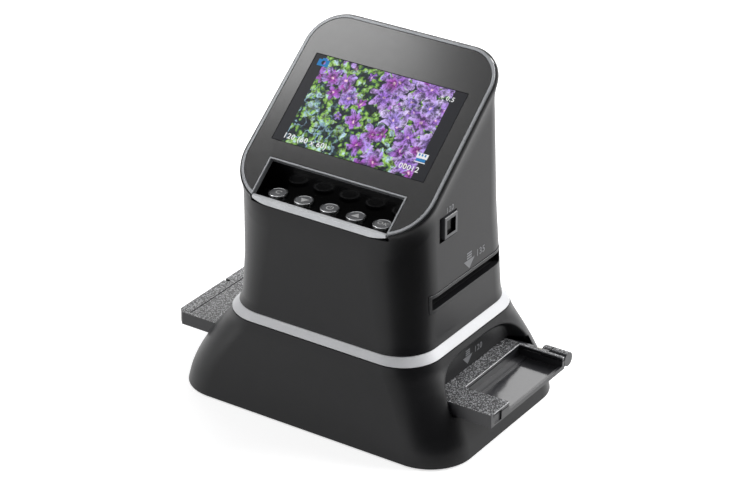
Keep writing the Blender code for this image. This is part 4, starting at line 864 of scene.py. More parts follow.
def picture_leaves(tree, flat, warped, size):
    """Overlapping leaves as cells of many greens, bright along one edge, over deep shade."""
    depth = add_node(tree, "TexNoise", {"Vector": flat, "Scale": 0.9 / size, "Detail": 5,
                                        "Roughness": 0.62})
    cells = add_node(tree, "TexVoronoi", {"Vector": warped, "Scale": 4.2 / size, "Randomness": 1.0},
                     voronoi_dimensions="2D")
    lot = add_node(tree, "SeparateColor", {0: cells.outputs["Color"]})
    lit = add_node(tree, "Math", {0: lot.outputs[0], 1: 0.42, 2: depth},
                   operation="MULTIPLY_ADD")
    edge = add_node(tree, "Math", {0: cells.outputs["Distance"], 1: -0.35, 2: lit},
                    operation="MULTIPLY_ADD")
    tone = add_node(tree, "ValToRGB", {"Fac": edge})
    ramp = tone.color_ramp
    green = tuple(colours().leaf)
    for share, colour in ((0.42, linear("#0D1F2A")), (0.52, linear("#24483C")), (0.6, green),
                          (0.7, linear("#9DC470")), (0.8, linear("#B5D4DC"))):
        ramp.elements.new(share).color = (*colour, 1)
    ramp.elements[0].color = (*linear("#070D16"), 1)
    ramp.elements[-1].color = (*linear("#A9C6DE"), 1)
    return tone


def picture_twigs(tree, flat, under, size):
    """Pale thin twigs in the lower left quarter."""
    bend = add_node(tree, "TexNoise", {"Vector": flat, "Scale": 1.1 / size, "Detail": 4})
    off = add_node(tree, "Math", {0: bend, 1: 0.5}, operation="SUBTRACT")
    near = add_node(tree, "Math", {0: off}, operation="ABSOLUTE")
    line = add_node(tree, "MapRange", {"Value": near, "From Min": 0.022, "From Max": 0.006})
    parts = add_node(tree, "SeparateXYZ", {0: flat})
    slant = add_node(tree, "Math", {0: parts.outputs[0], 1: parts.outputs[1]}, operation="ADD")
    corner = add_node(tree, "MapRange", {"Value": slant, "From Min": -1.2 * size,
                                         "From Max": -3.2 * size})
    share = add_node(tree, "Math", {0: line, 1: corner}, operation="MULTIPLY")
    return add_node(tree, "Mix", {0: share, 6: under, 7: "#8FB3C9"},
                    data_type="RGBA")


def picture_blossoms(tree, warped, under, scale, shift, petals, colour):
    """One layer of blossoms, in clusters towards the right, each turned its own way."""
    moved = add_node(tree, "VectorMath", {0: warped, 1: (shift, shift * 0.6, 0)}, operation="ADD")
    cells = add_node(tree, "TexVoronoi", {"Vector": moved, "Scale": scale,
                                          "Randomness": 0.9}, voronoi_dimensions="2D")
    lot = add_node(tree, "SeparateColor", {0: cells.outputs["Color"]})
    away = add_node(tree, "VectorMath", {0: moved, 1: cells.outputs["Position"]},
                    operation="SUBTRACT")
    parts = add_node(tree, "SeparateXYZ", {0: away})
    angle = add_node(tree, "Math", {0: parts.outputs[1], 1: parts.outputs[0]}, operation="ARCTAN2")
    spun = add_node(tree, "Math", {0: angle, 1: petals / 2, 2: lot.outputs[0]},
                    operation="MULTIPLY_ADD")
    wave = add_node(tree, "Math", {0: spun}, operation="COSINE")
    lobes = add_node(tree, "Math", {0: wave}, operation="ABSOLUTE")
    reach = add_node(tree, "MapRange", {"Value": lobes, "To Min": 0.24, "To Max": 0.6})
    spot = add_node(tree, "SeparateXYZ", {0: cells.outputs["Position"]})
    crowd = add_node(tree, "TexNoise", {"Vector": cells.outputs["Position"], "Scale": scale * 0.3})
    lean = add_node(tree, "MapRange", {"Value": spot.outputs[0], "From Min": shift - 40 * MM,
                                       "From Max": shift + 40 * MM, "To Min": -0.12, "To Max": 0.1})
    rise = add_node(tree, "MapRange", {"Value": spot.outputs[1], "From Min": shift * 0.6 - 26 * MM,
                                       "From Max": shift * 0.6 + 20 * MM, "To Min": -0.13,
                                       "To Max": 0.1})
    sway = add_node(tree, "Math", {0: lean, 1: rise}, operation="ADD")
    both = add_node(tree, "Math", {0: crowd, 1: sway}, operation="ADD")
    open_share = add_node(tree, "MapRange", {"Value": both, "From Min": 0.46, "From Max": 0.52})
    wide = add_node(tree, "Math", {0: reach, 1: open_share}, operation="MULTIPLY")
    inside = add_node(tree, "Math", {0: wide, 1: cells.outputs["Distance"]},
                      operation="SUBTRACT")
    mask = add_node(tree, "MapRange", {"Value": inside, "From Max": 0.04})
    depth = add_node(tree, "MapRange", {"Value": cells.outputs["Distance"], "From Min": 0.05,
                                        "From Max": 0.5})
    petal = add_node(tree, "Mix", {0: depth, 6: "#A0149A",
                                   7: "#B9A6F2"}, data_type="RGBA")
    pale = add_node(tree, "MapRange", {"Value": lot.outputs[2], "From Min": 0.45, "From Max": 0.7})
    faded = add_node(tree, "Mix", {0: depth, 6: "#8C6BD6",
                                   7: "#D9CBF2"}, data_type="RGBA")
    kind = add_node(tree, "Mix", {0: pale, 6: petal, 7: faded},
                    data_type="RGBA")
    few = add_node(tree, "Math", {0: lot.outputs[1], 1: 0.5}, operation="MULTIPLY")
    shade = add_node(tree, "Mix", {0: few, 6: kind, 7: colour}, data_type="RGBA")
    vein = add_node(tree, "MapRange", {"Value": lobes, "From Max": 0.5, "To Min": 0.5})
    veined = add_node(tree, "Mix", {0: 1.0, 6: shade, 7: vein}, data_type="RGBA",
                      blend_type="MULTIPLY")
    heart = add_node(tree, "MapRange", {"Value": cells.outputs["Distance"], "From Min": 0.03,
                                        "From Max": 0.08})
    bloom = add_node(tree, "Mix", {0: heart, 6: "#E9C3D8",
                                   7: veined}, data_type="RGBA")
    return add_node(tree, "Mix", {0: mask, 6: under, 7: bloom},
                    data_type="RGBA")


# Stage

class Stage(Operator):
    """Camera of the photograph, pale floor and soft studio light"""
    bl_idname = "scanner.stage"
    bl_label = "Stage"
    bl_options = {"REGISTER", "UNDO"}

    def execute(self, context):
        scene = context.scene
        scene.view_settings.view_transform = "Standard"
        self.add_camera(scene)
        self.add_floor()
        self.add_world(scene)
        for lamp in LAMPS:
            self.add_lamp(*lamp)
        self.add_flag()
        return {"FINISHED"}

    def add_camera(self, scene):
        azimuth, elevation = CAMERA_AZIMUTH, CAMERA_ELEVATION
        back = Vector((sin(azimuth) * cos(elevation), -cos(azimuth) * cos(elevation), sin(elevation)))
        right = Vector((cos(azimuth), sin(azimuth), 0))
        turned = Matrix((right, back.cross(right), back)).transposed()
        settle()
        bpy.ops.object.camera_add(location=CAMERA_PLACE, rotation=turned.to_euler())
        camera = bpy.context.active_object
        camera.data.lens = CAMERA_LENS
        camera.data.sensor_width = CAMERA_SENSOR
        camera.data.dof.use_dof = False
        scene.camera = camera

    def add_floor(self):
        settle()
        bpy.ops.mesh.primitive_plane_add(size=sizes().floor, location=(0, 0, 0))
        floor = bpy.context.active_object
        floor.name = "floor"
        # White paper sweep: matt and even, its fibre hardly seen
        made = bpy.data.materials.new("white_paper_sweep")
        made.use_nodes = True
        tree = made.node_tree
        shader = tree.nodes["Principled BSDF"]
        shader.inputs["Roughness"].default_value = 0.9
        shader.inputs["Specular IOR Level"].default_value = 0.1
        place = add_node(tree, "TexCoord").outputs["Object"]
        fibre = add_node(tree, "TexNoise", {"Vector": place, "Scale": FIBRES_PER_METRE,
                                            "Detail": 2})
        tone = add_node(tree, "Mix", {0: fibre, 6: "#E9E9EA",
                                      7: "#F0F0F0"}, data_type="RGBA")
        tree.links.new(tone.outputs[2], shader.inputs["Base Color"])
        seen = seen_by_eye(tree)
        shader.inputs["Emission Color"].default_value = (1, 1, 1, 1)
        lift = add_node(tree, "Math", {0: seen, 1: FLOOR_GLOW}, operation="MULTIPLY")
        tree.links.new(lift.outputs[0], shader.inputs["Emission Strength"])
        floor.data.materials.append(made)

    def add_flag(self):
        """A black card that only gloss shows, which keeps the front right corner deep."""
        settle()
        bpy.ops.mesh.primitive_grid_add(x_subdivisions=2, y_subdivisions=2, size=1)
        flag = bpy.context.active_object
        flag.name = "black_flag"
        for vertex in flag.data.vertices:
            away, width, height = [between(near, far, vertex.co.y + 0.5)
                                   for near, far in zip(FLAG_NEAR, FLAG_FAR)]
            place = FLAG_AWAY * away + FLAG_ACROSS * vertex.co.x * width
            vertex.co = place + Vector((0, 0, height))
        made = bpy.data.materials.new("black_card")
        made.use_nodes = True
        shader = made.node_tree.nodes["Principled BSDF"]
        shader.inputs["Base Color"].default_value = (0.003, 0.003, 0.003, 1)
        shader.inputs["Roughness"].default_value = 1
        flag.data.materials.append(made)
        flag.visible_camera = flag.visible_diffuse = flag.visible_shadow = False
        flag.visible_transmission = False

    def add_world(self, scene):
        world = bpy.data.worlds.new("studio")
        world.use_nodes = True
        tree = world.node_tree
        ground = tree.nodes["Background"]
        seen = seen_by_eye(tree)
        strength = add_node(tree, "MapRange", {"Value": seen, "To Min": ROOM_LIGHT, "To Max": 1.0})
        ground.inputs["Color"].default_value = (1, 1, 1, 1)
        tree.links.new(strength.outputs[0], ground.inputs["Strength"])
        scene.world = world

    def add_lamp(self, name, place, side, power):
        settle()
        aim = LAMP_AIM - Vector(place)
        bpy.ops.object.light_add(type="AREA", location=place,
                                 rotation=aim.to_track_quat("-Z", "Y").to_euler())
        lamp = bpy.context.active_object
        lamp.name = name
        lamp.data.shape = "RECTANGLE"
        lamp.data.size = lamp.data.size_y = side
        lamp.data.energy = power


def seen_by_eye(tree):
    """1 for rays of the camera, of gloss and through glass, which show the white backdrop."""
    path = add_node(tree, "LightPath")
    first = add_node(tree, "Math", {0: path.outputs["Is Camera Ray"],
                                    1: path.outputs["Is Glossy Ray"]}, operation="MAXIMUM")
    return add_node(tree, "Math", {0: first, 1: path.outputs["Is Transmission Ray"]},
                    operation="MAXIMUM")


# Base

def flare(share):
    """How much of the skirt's flare is left at a share of its height, on a smooth curve."""
    table = FLARE_SHARES
    index = max(i for i, (low, _) in enumerate(table[:-1]) if low <= share)
    slopes = []
    for spot in (index, index + 1):
        before, after = table[max(spot - 1, 0)], table[min(spot + 1, len(table) - 1)]
        slopes.append((after[1] - before[1]) / (after[0] - before[0]))
    (low, low_value), (high, high_value) = table[index], table[index + 1]
    span = high - low
    t = (share - low) / span
    return (low_value * (2 * t ** 3 - 3 * t ** 2 + 1) + slopes[0] * span * (t ** 3 - 2 * t ** 2 + t)
            + high_value * (3 * t ** 2 - 2 * t ** 3) + slopes[1] * span * (t ** 3 - t ** 2))


def pocket_wall(y, z, inset):
    """How far out the arched pocket lets the skirt, or its inside, reach at one place."""
    across = abs(y - POCKET_Y) / (POCKET_HALF_Y + inset)
    up = (z - POCKET_Z + inset) / (POCKET_RISE + 2 * inset)
    radius = (across ** POCKET_POWER + up ** POCKET_POWER) ** (1 / POCKET_POWER)
    if radius < MERGE:
        return POCKET_X - inset
    length = ((y - POCKET_Y) ** 2 + (z - POCKET_Z) ** 2) ** 0.5
    beyond = (radius - 1) * length / radius * POCKET_SIDE_SLOPE
    return POCKET_X - inset - smooth_least(0, -beyond, POCKET_ROOT_ROUND * POCKET_SIDE_SLOPE)


def skirt_row(height, inset):
    """One level of the skirt, or of its inside, drawn in by the arched pockets."""
    left = flare(min(1, max(0, (height - SKIRT_LOW_Z) / SKIRT_HEIGHT)))
    plan = even_plan(*[between(top, foot, left) for top, foot in zip(SKIRT_TOP, SKIRT_FOOT)])
    row = level(plan_points(*inset_plan(plan, inset), SKIRT_SIDE_STEPS, SKIRT_CORNER_STEPS), height)
    for point in row if height > POCKET_Z - inset else ():
        depth = abs(point.x) - (POCKET_X - inset)
        if depth > 0:
            reach = max(POCKET_LEAST_ROUND, min(POCKET_MOUTH_ROUND, depth * POCKET_ROUND_SHARE))
            drawn = smooth_least(abs(point.x), pocket_wall(point.y, height, inset), reach)
            point.x = drawn if point.x > 0 else -drawn
    return row


def skirt_heights(floor, top, row_height):
    """Levels of the skirt with a sharp sill at the pockets' floor."""
    steps = round((top - SKIRT_LOW_Z) / row_height)
    heights = [between(SKIRT_LOW_Z, top, step / steps) for step in range(steps + 1)]
    sill = min(range(len(heights)), key=lambda index: abs(heights[index] - floor))
    heights[sill:sill + 1] = [floor - 2 * MERGE, floor + 2 * MERGE]
    return heights


class BaseShell(Operator):
    """Flared base with an arched pocket over each end of the holder's passage"""
    bl_idname = "scanner.base_shell"
    bl_label = "Base shell"
    bl_options = {"REGISTER", "UNDO"}

    def execute(self, context):
        top = SKIRT_LOW_Z + SKIRT_HEIGHT
        rows = [skirt_row(height, 0) for height in skirt_heights(POCKET_Z, top, SKIRT_ROW)]
        deck = inset_plan(even_plan(*SKIRT_TOP), DECK_WIDTH)
        deck = plan_points(*deck[:4], DECK_CORNER, DECK_CORNER, SKIRT_SIDE_STEPS, SKIRT_CORNER_STEPS)
        rows += [level(deck, top), level(deck, top - SKIRT_WALL)]
        inside = skirt_heights(POCKET_Z - SKIRT_WALL, top - SKIRT_WALL, 3 * SKIRT_ROW)
        rows += [skirt_row(height, SKIRT_WALL) for height in reversed(inside)]
        shell = draped("base_shell", [*rows, rows[0]])
        cut(shell, block("passage", (-SKIRT_FOOT[0] - OVERRUN, SKIRT_FOOT[0] + OVERRUN),
                         (PASSAGE_FRONT, PASSAGE_BACK), (PASSAGE_LOW, PASSAGE_HIGH)))
        smooth(shell, radians(40))
        finish(shell, "stand", "charcoal", "etched_charcoal_abs", "base_housing")
        return {"FINISHED"}


class LightRing(Operator):
    """Milky ring between base and tower"""
    bl_idname = "scanner.light_ring"
    bl_label = "Light ring"
    bl_options = {"REGISTER", "UNDO"}

    def execute(self, context):
        rows = [level(plan_points(*inset_plan(even_plan(*plan), inset)), height)
                for plan, height, inset in ((RING_FOOT, RING_LOW_Z, RING_EDGE),
                                            (RING_FOOT, RING_LOW_Z + RING_EDGE, 0),
                                            (RING_TOP, RING_HIGH_Z - RING_EDGE, 0),
                                            (RING_TOP, RING_HIGH_Z, RING_EDGE),
                                            (RING_TOP, RING_HIGH_Z, RING_WALL),
                                            (RING_TOP, RING_LOW_Z, RING_WALL))]
        rows.append(rows[0])
        ring = draped("milky_ring", rows)
        smooth(ring)
        finish(ring, "stand", "milky", "opal_polycarbonate", "light_ring")
        return {"FINISHED"}


# Tower

def back_y(height):
    share = (height - TOWER_LOW_Z) / (TOWER_BACK_HIGH_Z - TOWER_LOW_Z)
    return between(TOWER_BACK_LOW, TOWER_BACK_HIGH, share)


def grown_plan(plan, grow):
    return plan_points(*inset_plan(plan, -grow))


def wall_y(y, depth):
    """Where an upright wall cuts a plane that lies under the screen's, on that plane's own Y."""
    return (y - depth * sin(TILT)) / cos(TILT)


def back_wall_y(depth):
    """The same for the tower's leaning back wall."""
    lean = (TOWER_BACK_HIGH - TOWER_BACK_LOW) / (TOWER_BACK_HIGH_Z - TOWER_LOW_Z)
    start = back_y(PANEL.translation.z - depth * cos(TILT)) - depth * sin(TILT)
    return start / (cos(TILT) - lean * sin(TILT))


def tower_rows(grow=0.0):
    """The tower's skin in rows from its foot to its head, grown by a margin."""
    foot = grown_plan(inset_plan(even_plan(*RING_TOP), GAP), grow)
    low = grown_plan((TOWER_HALF_LOW, TOWER_HALF_LOW, TOWER_FRONT_LOW, TOWER_BACK_LOW,
                      TOWER_FRONT_CORNER_LOW, TOWER_BACK_CORNER), grow)
    slope = tan(TILT) * TOWER_MIDDLE_SHARE
    middle = grown_plan((TOWER_HALF_MIDDLE, TOWER_HALF_MIDDLE,
                         between(TOWER_FRONT_LOW, TOWER_FRONT_HIGH, TOWER_MIDDLE_SHARE),
                         back_y(TOWER_MIDDLE_Z + slope * TOWER_BACK_LOW),
                         between(TOWER_FRONT_CORNER_LOW, TOWER_FRONT_CORNER_HIGH, TOWER_MIDDLE_SHARE),
                         TOWER_BACK_CORNER), grow)
    shoulder = HEAD_DROP + 2 * HEAD_EDGE
    neck, plain = [grown_plan((TOWER_HALF_HIGH, TOWER_HALF_HIGH, wall_y(TOWER_FRONT_HIGH, depth),
                               back_wall_y(depth), TOWER_FRONT_CORNER_HIGH, TOWER_BACK_CORNER), grow)
                   for depth in (NECK_DEPTH, shoulder)]
    head = grown_plan(HEAD, grow)
    rows = [level(foot, RING_HIGH_Z + GAP), level(low, TOWER_LOW_Z),
            [Vector((x, y, TOWER_MIDDLE_Z + slope * y)) for x, y in middle]]
    for step in range(NECK_ROWS + 1):
        share = step / NECK_ROWS
        flared = []
        for corners in zip(neck, plain, head):
            flared.append([between(start, end, share) + (wide - end) * share ** NECK_POWER
                           for start, end, wide in zip(*corners)])
        rows.append(seated(flared, PANEL, between(NECK_DEPTH, shoulder, share)))
    rows.append(seated(head, PANEL, HEAD_DROP + HEAD_EDGE))
    for inset, depth in ((0.3, 0.3), (0.8, 0)):
        rows.append(seated(plan_points(*inset_plan(HEAD, inset * HEAD_EDGE)), PANEL,
                           HEAD_DROP + depth * HEAD_EDGE))
    return rows


class TowerShell(Operator):
    """Tapered tower whose head flares out round the screen"""
    bl_idname = "scanner.tower_shell"
    bl_label = "Tower shell"
    bl_options = {"REGISTER", "UNDO"}

    def execute(self, context):
        shell = draped("tower_shell", tower_rows())
        apply_modifier(shell, "SOLIDIFY", thickness=TOWER_WALL, offset=-1)
        rebate = rounded_plate("rebate", inset_plan(HEAD, RIM_INSET - GAP), -RIM_THICKNESS - GAP,
                               OVERRUN, PANEL)
        reach = TOWER_HALF_LOW + OVERRUN
        grow = SLOT_RIDGE + GAP
        seat_half = NOTCH_HALF_X + NOTCH_EDGE + GAP
        cut(shell, rebate,
            block("slot_opening", (-reach, reach), (SLOT_Y[0] - grow, SLOT_Y[1] + grow),
                  (SLOT_Z[0] - grow, SLOT_Z[1] + grow)),
            block("selector_opening", *SELECTOR_OPENING),
            block("lip_seat", (-seat_half, seat_half),
                  (TOWER_FRONT_HIGH - OVERRUN, TRAY_FRONT + OVERRUN),
                  (SHELF_Z - LIP_SEAT_DROP, PANEL.translation.z)))
        for span, half in ((USB_X, USB_HALF_Z), (CARD_X, CARD_HALF_Z)):
            cut(shell, block("socket_window", (span[0] - GAP, span[1] + GAP),
                             (back_y(SOCKET_Z) - TOWER_WALL * 2, back_y(SOCKET_Z) + OVERRUN),
                             (SOCKET_Z - half - GAP, SOCKET_Z + half + GAP)))
        smooth(shell)
        finish(shell, "stand", "charcoal", "etched_charcoal_abs", "tower_housing")
        return {"FINISHED"}


# Screen

def notch_plan(grow):
    """Half width and upper edge of the plate's notch for the keys."""
    return (NOTCH_HALF_X + NOTCH_EDGE + PLATE_GAP - grow, NOTCH_TOP + NOTCH_EDGE + PLATE_GAP - grow)


class Screen(Operator):
    """Rim, glossy plate, display and its picture"""
    bl_idname = "scanner.screen"
    bl_label = "Screen"
    bl_options = {"REGISTER", "UNDO"}

    def execute(self, context):
        self.add_rim()
        self.add_plate()
        self.add_picture()
        return {"FINISHED"}

    def plate_blank(self, name, grow, low, high):
        blank = rounded_plate(name, inset_plan(HEAD, RIM_INSET + RIM_WIDTH + PLATE_GAP - grow),
                              low, high, PANEL)
        half, top = notch_plan(grow)
        return cut(blank, block("notch", (-half, half), (HEAD[2] - OVERRUN, top),
                                (-OVERRUN * 2, OVERRUN * 2), PANEL))

    def add_rim(self):
        rim = rounded_plate("screen_rim", inset_plan(HEAD, RIM_INSET), -RIM_THICKNESS, 0, PANEL)
        soften(rim, RIM_ROUND)
        seat = self.plate_blank("plate_seat", PLATE_GAP, -PLATE_DROP - PLATE_THICKNESS - GAP, OVERRUN)
        window = block("window", (-PICTURE_HALF_X - 2 * GAP, PICTURE_HALF_X + 2 * GAP),
                       (-PICTURE_HALF_Y - 2 * GAP, PICTURE_HALF_Y + 2 * GAP),
                       (-OVERRUN, OVERRUN), PANEL)
        notch = block("rim_notch", (-NOTCH_HALF_X, NOTCH_HALF_X), (HEAD[2] - OVERRUN, NOTCH_TOP),
                      (-OVERRUN, OVERRUN), PANEL)
        cut(rim, seat, window, notch)
        smooth(rim)
        finish(rim, "stand", "satin_grey", "satin_lacquer", "screen_bezel")

    def add_plate(self):
        plate = self.plate_blank("gloss_plate", 0, -PLATE_DROP - PLATE_THICKNESS, -PLATE_DROP)
        half_x, half_y = PICTURE_HALF_X + GAP, PICTURE_HALF_Y + GAP
        cut(plate, block("pane", (-half_x, half_x), (-half_y, half_y), (-OVERRUN, OVERRUN), PANEL))
        soften(plate, PLATE_ROUND, 2)
        smooth(plate)
        finish(plate, "stand", "gloss_black", "gloss_acrylic", "screen_plate")

    def add_picture(self):
        low = -PICTURE_DROP + PICTURE_LIFT
        picture = block("lit_picture", (-PICTURE_HALF_X, PICTURE_HALF_X),
                        (-PICTURE_HALF_Y, PICTURE_HALF_Y), (low, low + PICTURE_SHEET), PANEL)
        soften(picture, PICTURE_ROUND, 1)
        finish(picture, "stand", "display_glass", "lit_picture")


# Keys and lip

class Keys(Operator):
    """Five keys in the pocket under the screen and the lip in front of them"""
    bl_idname = "scanner.keys"
    bl_label = "Keys"
    bl_options = {"REGISTER", "UNDO"}

    def execute(self, context):
        for index, name in enumerate(KEY_NAMES):
            self.add_key(name + "_button", name + "_key", (index - 2) * KEY_PITCH)
        self.add_lip()
        return {"FINISHED"}

    def add_key(self, node, body, x):
        key = rod(body + "_cap", KEY_RADIUS, (x, KEY_Y, KEY_FOOT_Z), (x, KEY_Y, KEY_TOP_Z), KEY_SIDES)
        choose(key, "FACE", lambda part: part.normal.z > 0.9)
        bpy.ops.mesh.bevel(offset=KEY_ROUND, segments=4, profile=0.6)
        choose(key, "FACE", lambda part: part.normal.z > 0.95 and len(part.verts) == KEY_SIDES)
        bpy.ops.mesh.inset(thickness=KEY_RIM - KEY_ROUND)
        bpy.ops.mesh.inset(thickness=KEY_DISH, depth=-KEY_DISH)
        bpy.ops.object.mode_set(mode="OBJECT")
        smooth(key, radians(35))
        finish(key, body, "key_metal", ("bright_turned_metal", "flake_lacquer"), node)
        paint(key, 1, lambda face: face.normal.z > 0.95 and len(face.vertices) == KEY_SIDES
              and face.center.z < KEY_TOP_Z - KEY_DISH / 2)

    def add_lip(self):
        plan = [(point.x, point.y)
                for point in seated(plan_points(*HEAD), PANEL, HEAD_DROP + HEAD_EDGE)]
        lip = close_ends(draped("key_lip", [level(plan, LIP_BOTTOM_Z), level(plan, LIP_TOP_Z)]))
        keep(lip, block("lip_keep", (-LIP_HALF_X, LIP_HALF_X), (HEAD[2], TRAY_FRONT - GAP),
                        (LIP_BOTTOM_Z - OVERRUN, LIP_TOP_Z + OVERRUN)))
        for vertex in lip.data.vertices:
            beyond = max(0, abs(vertex.co.x) - LIP_TAPER_X) / (LIP_HALF_X - LIP_TAPER_X)
            if vertex.co.z < LIP_BOTTOM_Z + MERGE:
                vertex.co.z += LIP_TAPER * beyond ** 2
        soften(lip, LIP_ROUND, 5)
        smooth(lip)
        # Pale lacquer whose colour also paints the highlight along the lip's curved edge
        finish(lip, "stand", "satin_grey", "pearl_lacquer", "front_lip")


class Selector(Operator):
    """Square format selector with a dished face"""
    bl_idname = "scanner.selector"
    bl_label = "Format selector"
    bl_options = {"REGISTER", "UNDO"}

    def execute(self, context):
        knob = block("selector_button", KNOB_X, KNOB_Y,
                     (SELECTOR_Z - KNOB_HALF_Z, SELECTOR_Z + KNOB_HALF_Z))
        soften(knob, KNOB_ROUND)
        choose(knob, "FACE", lambda part: part.normal.x > 0.99 and part.calc_area() > 50 * MM * MM)
        bpy.ops.mesh.inset(thickness=KNOB_FRAME)
        bpy.ops.mesh.inset(thickness=KNOB_DISH_SLOPE, depth=-KNOB_DISH_DEPTH)
        bpy.ops.object.mode_set(mode="OBJECT")
        smooth(knob)
        finish(knob, "selector", "satin_grey", ("dark_satin_abs", "polished_black_abs"),
               "selector_knob")
        middle = sum(KNOB_Y) / 2
        dish = KNOB_HALF_Z - KNOB_FRAME
        paint(knob, 1, lambda face: face.center.x < KNOB_X[1] - 0.1 * MM
              and abs(face.center.y - middle) < dish and abs(face.center.z - SELECTOR_Z) < dish)
        return {"FINISHED"}


class FilmSlots(Operator):
    """Frames with a raised ridge round both mouths of the strip film slot"""
    bl_idname = "scanner.film_slots"
    bl_label = "Film slots"
    bl_options = {"REGISTER", "UNDO"}

    def execute(self, context):
        for side, name in ((-1, "left"), (1, "right")):
            span = sorted((side * SLOT_FRAME_X, side * (TOWER_HALF_LOW + OVERRUN)))
            slot = block("slot_rim_" + name, span, (SLOT_Y[0] - SLOT_RIDGE, SLOT_Y[1] + SLOT_RIDGE),
                         (SLOT_Z[0] - SLOT_RIDGE, SLOT_Z[1] + SLOT_RIDGE))
            keep(slot, close_ends(draped("proud_skin", tower_rows(SLOT_PROUD))))
            soften(slot, SLOT_ROUND)
            cut(slot, block("mouth", (span[0] - OVERRUN, span[1] + OVERRUN), SLOT_Y, SLOT_Z))
            smooth(slot)
            finish(slot, "stand", "black_plastic", ("etched_charcoal_abs", "painted_highlight_charcoal_abs"),
                   "slot_frame_" + name)
            # Painted highlights on the frames' rounded edges
            paint(slot, 1, lambda face: 0.3 < abs(face.normal.x) < 0.9)
        return {"FINISHED"}


# Holder

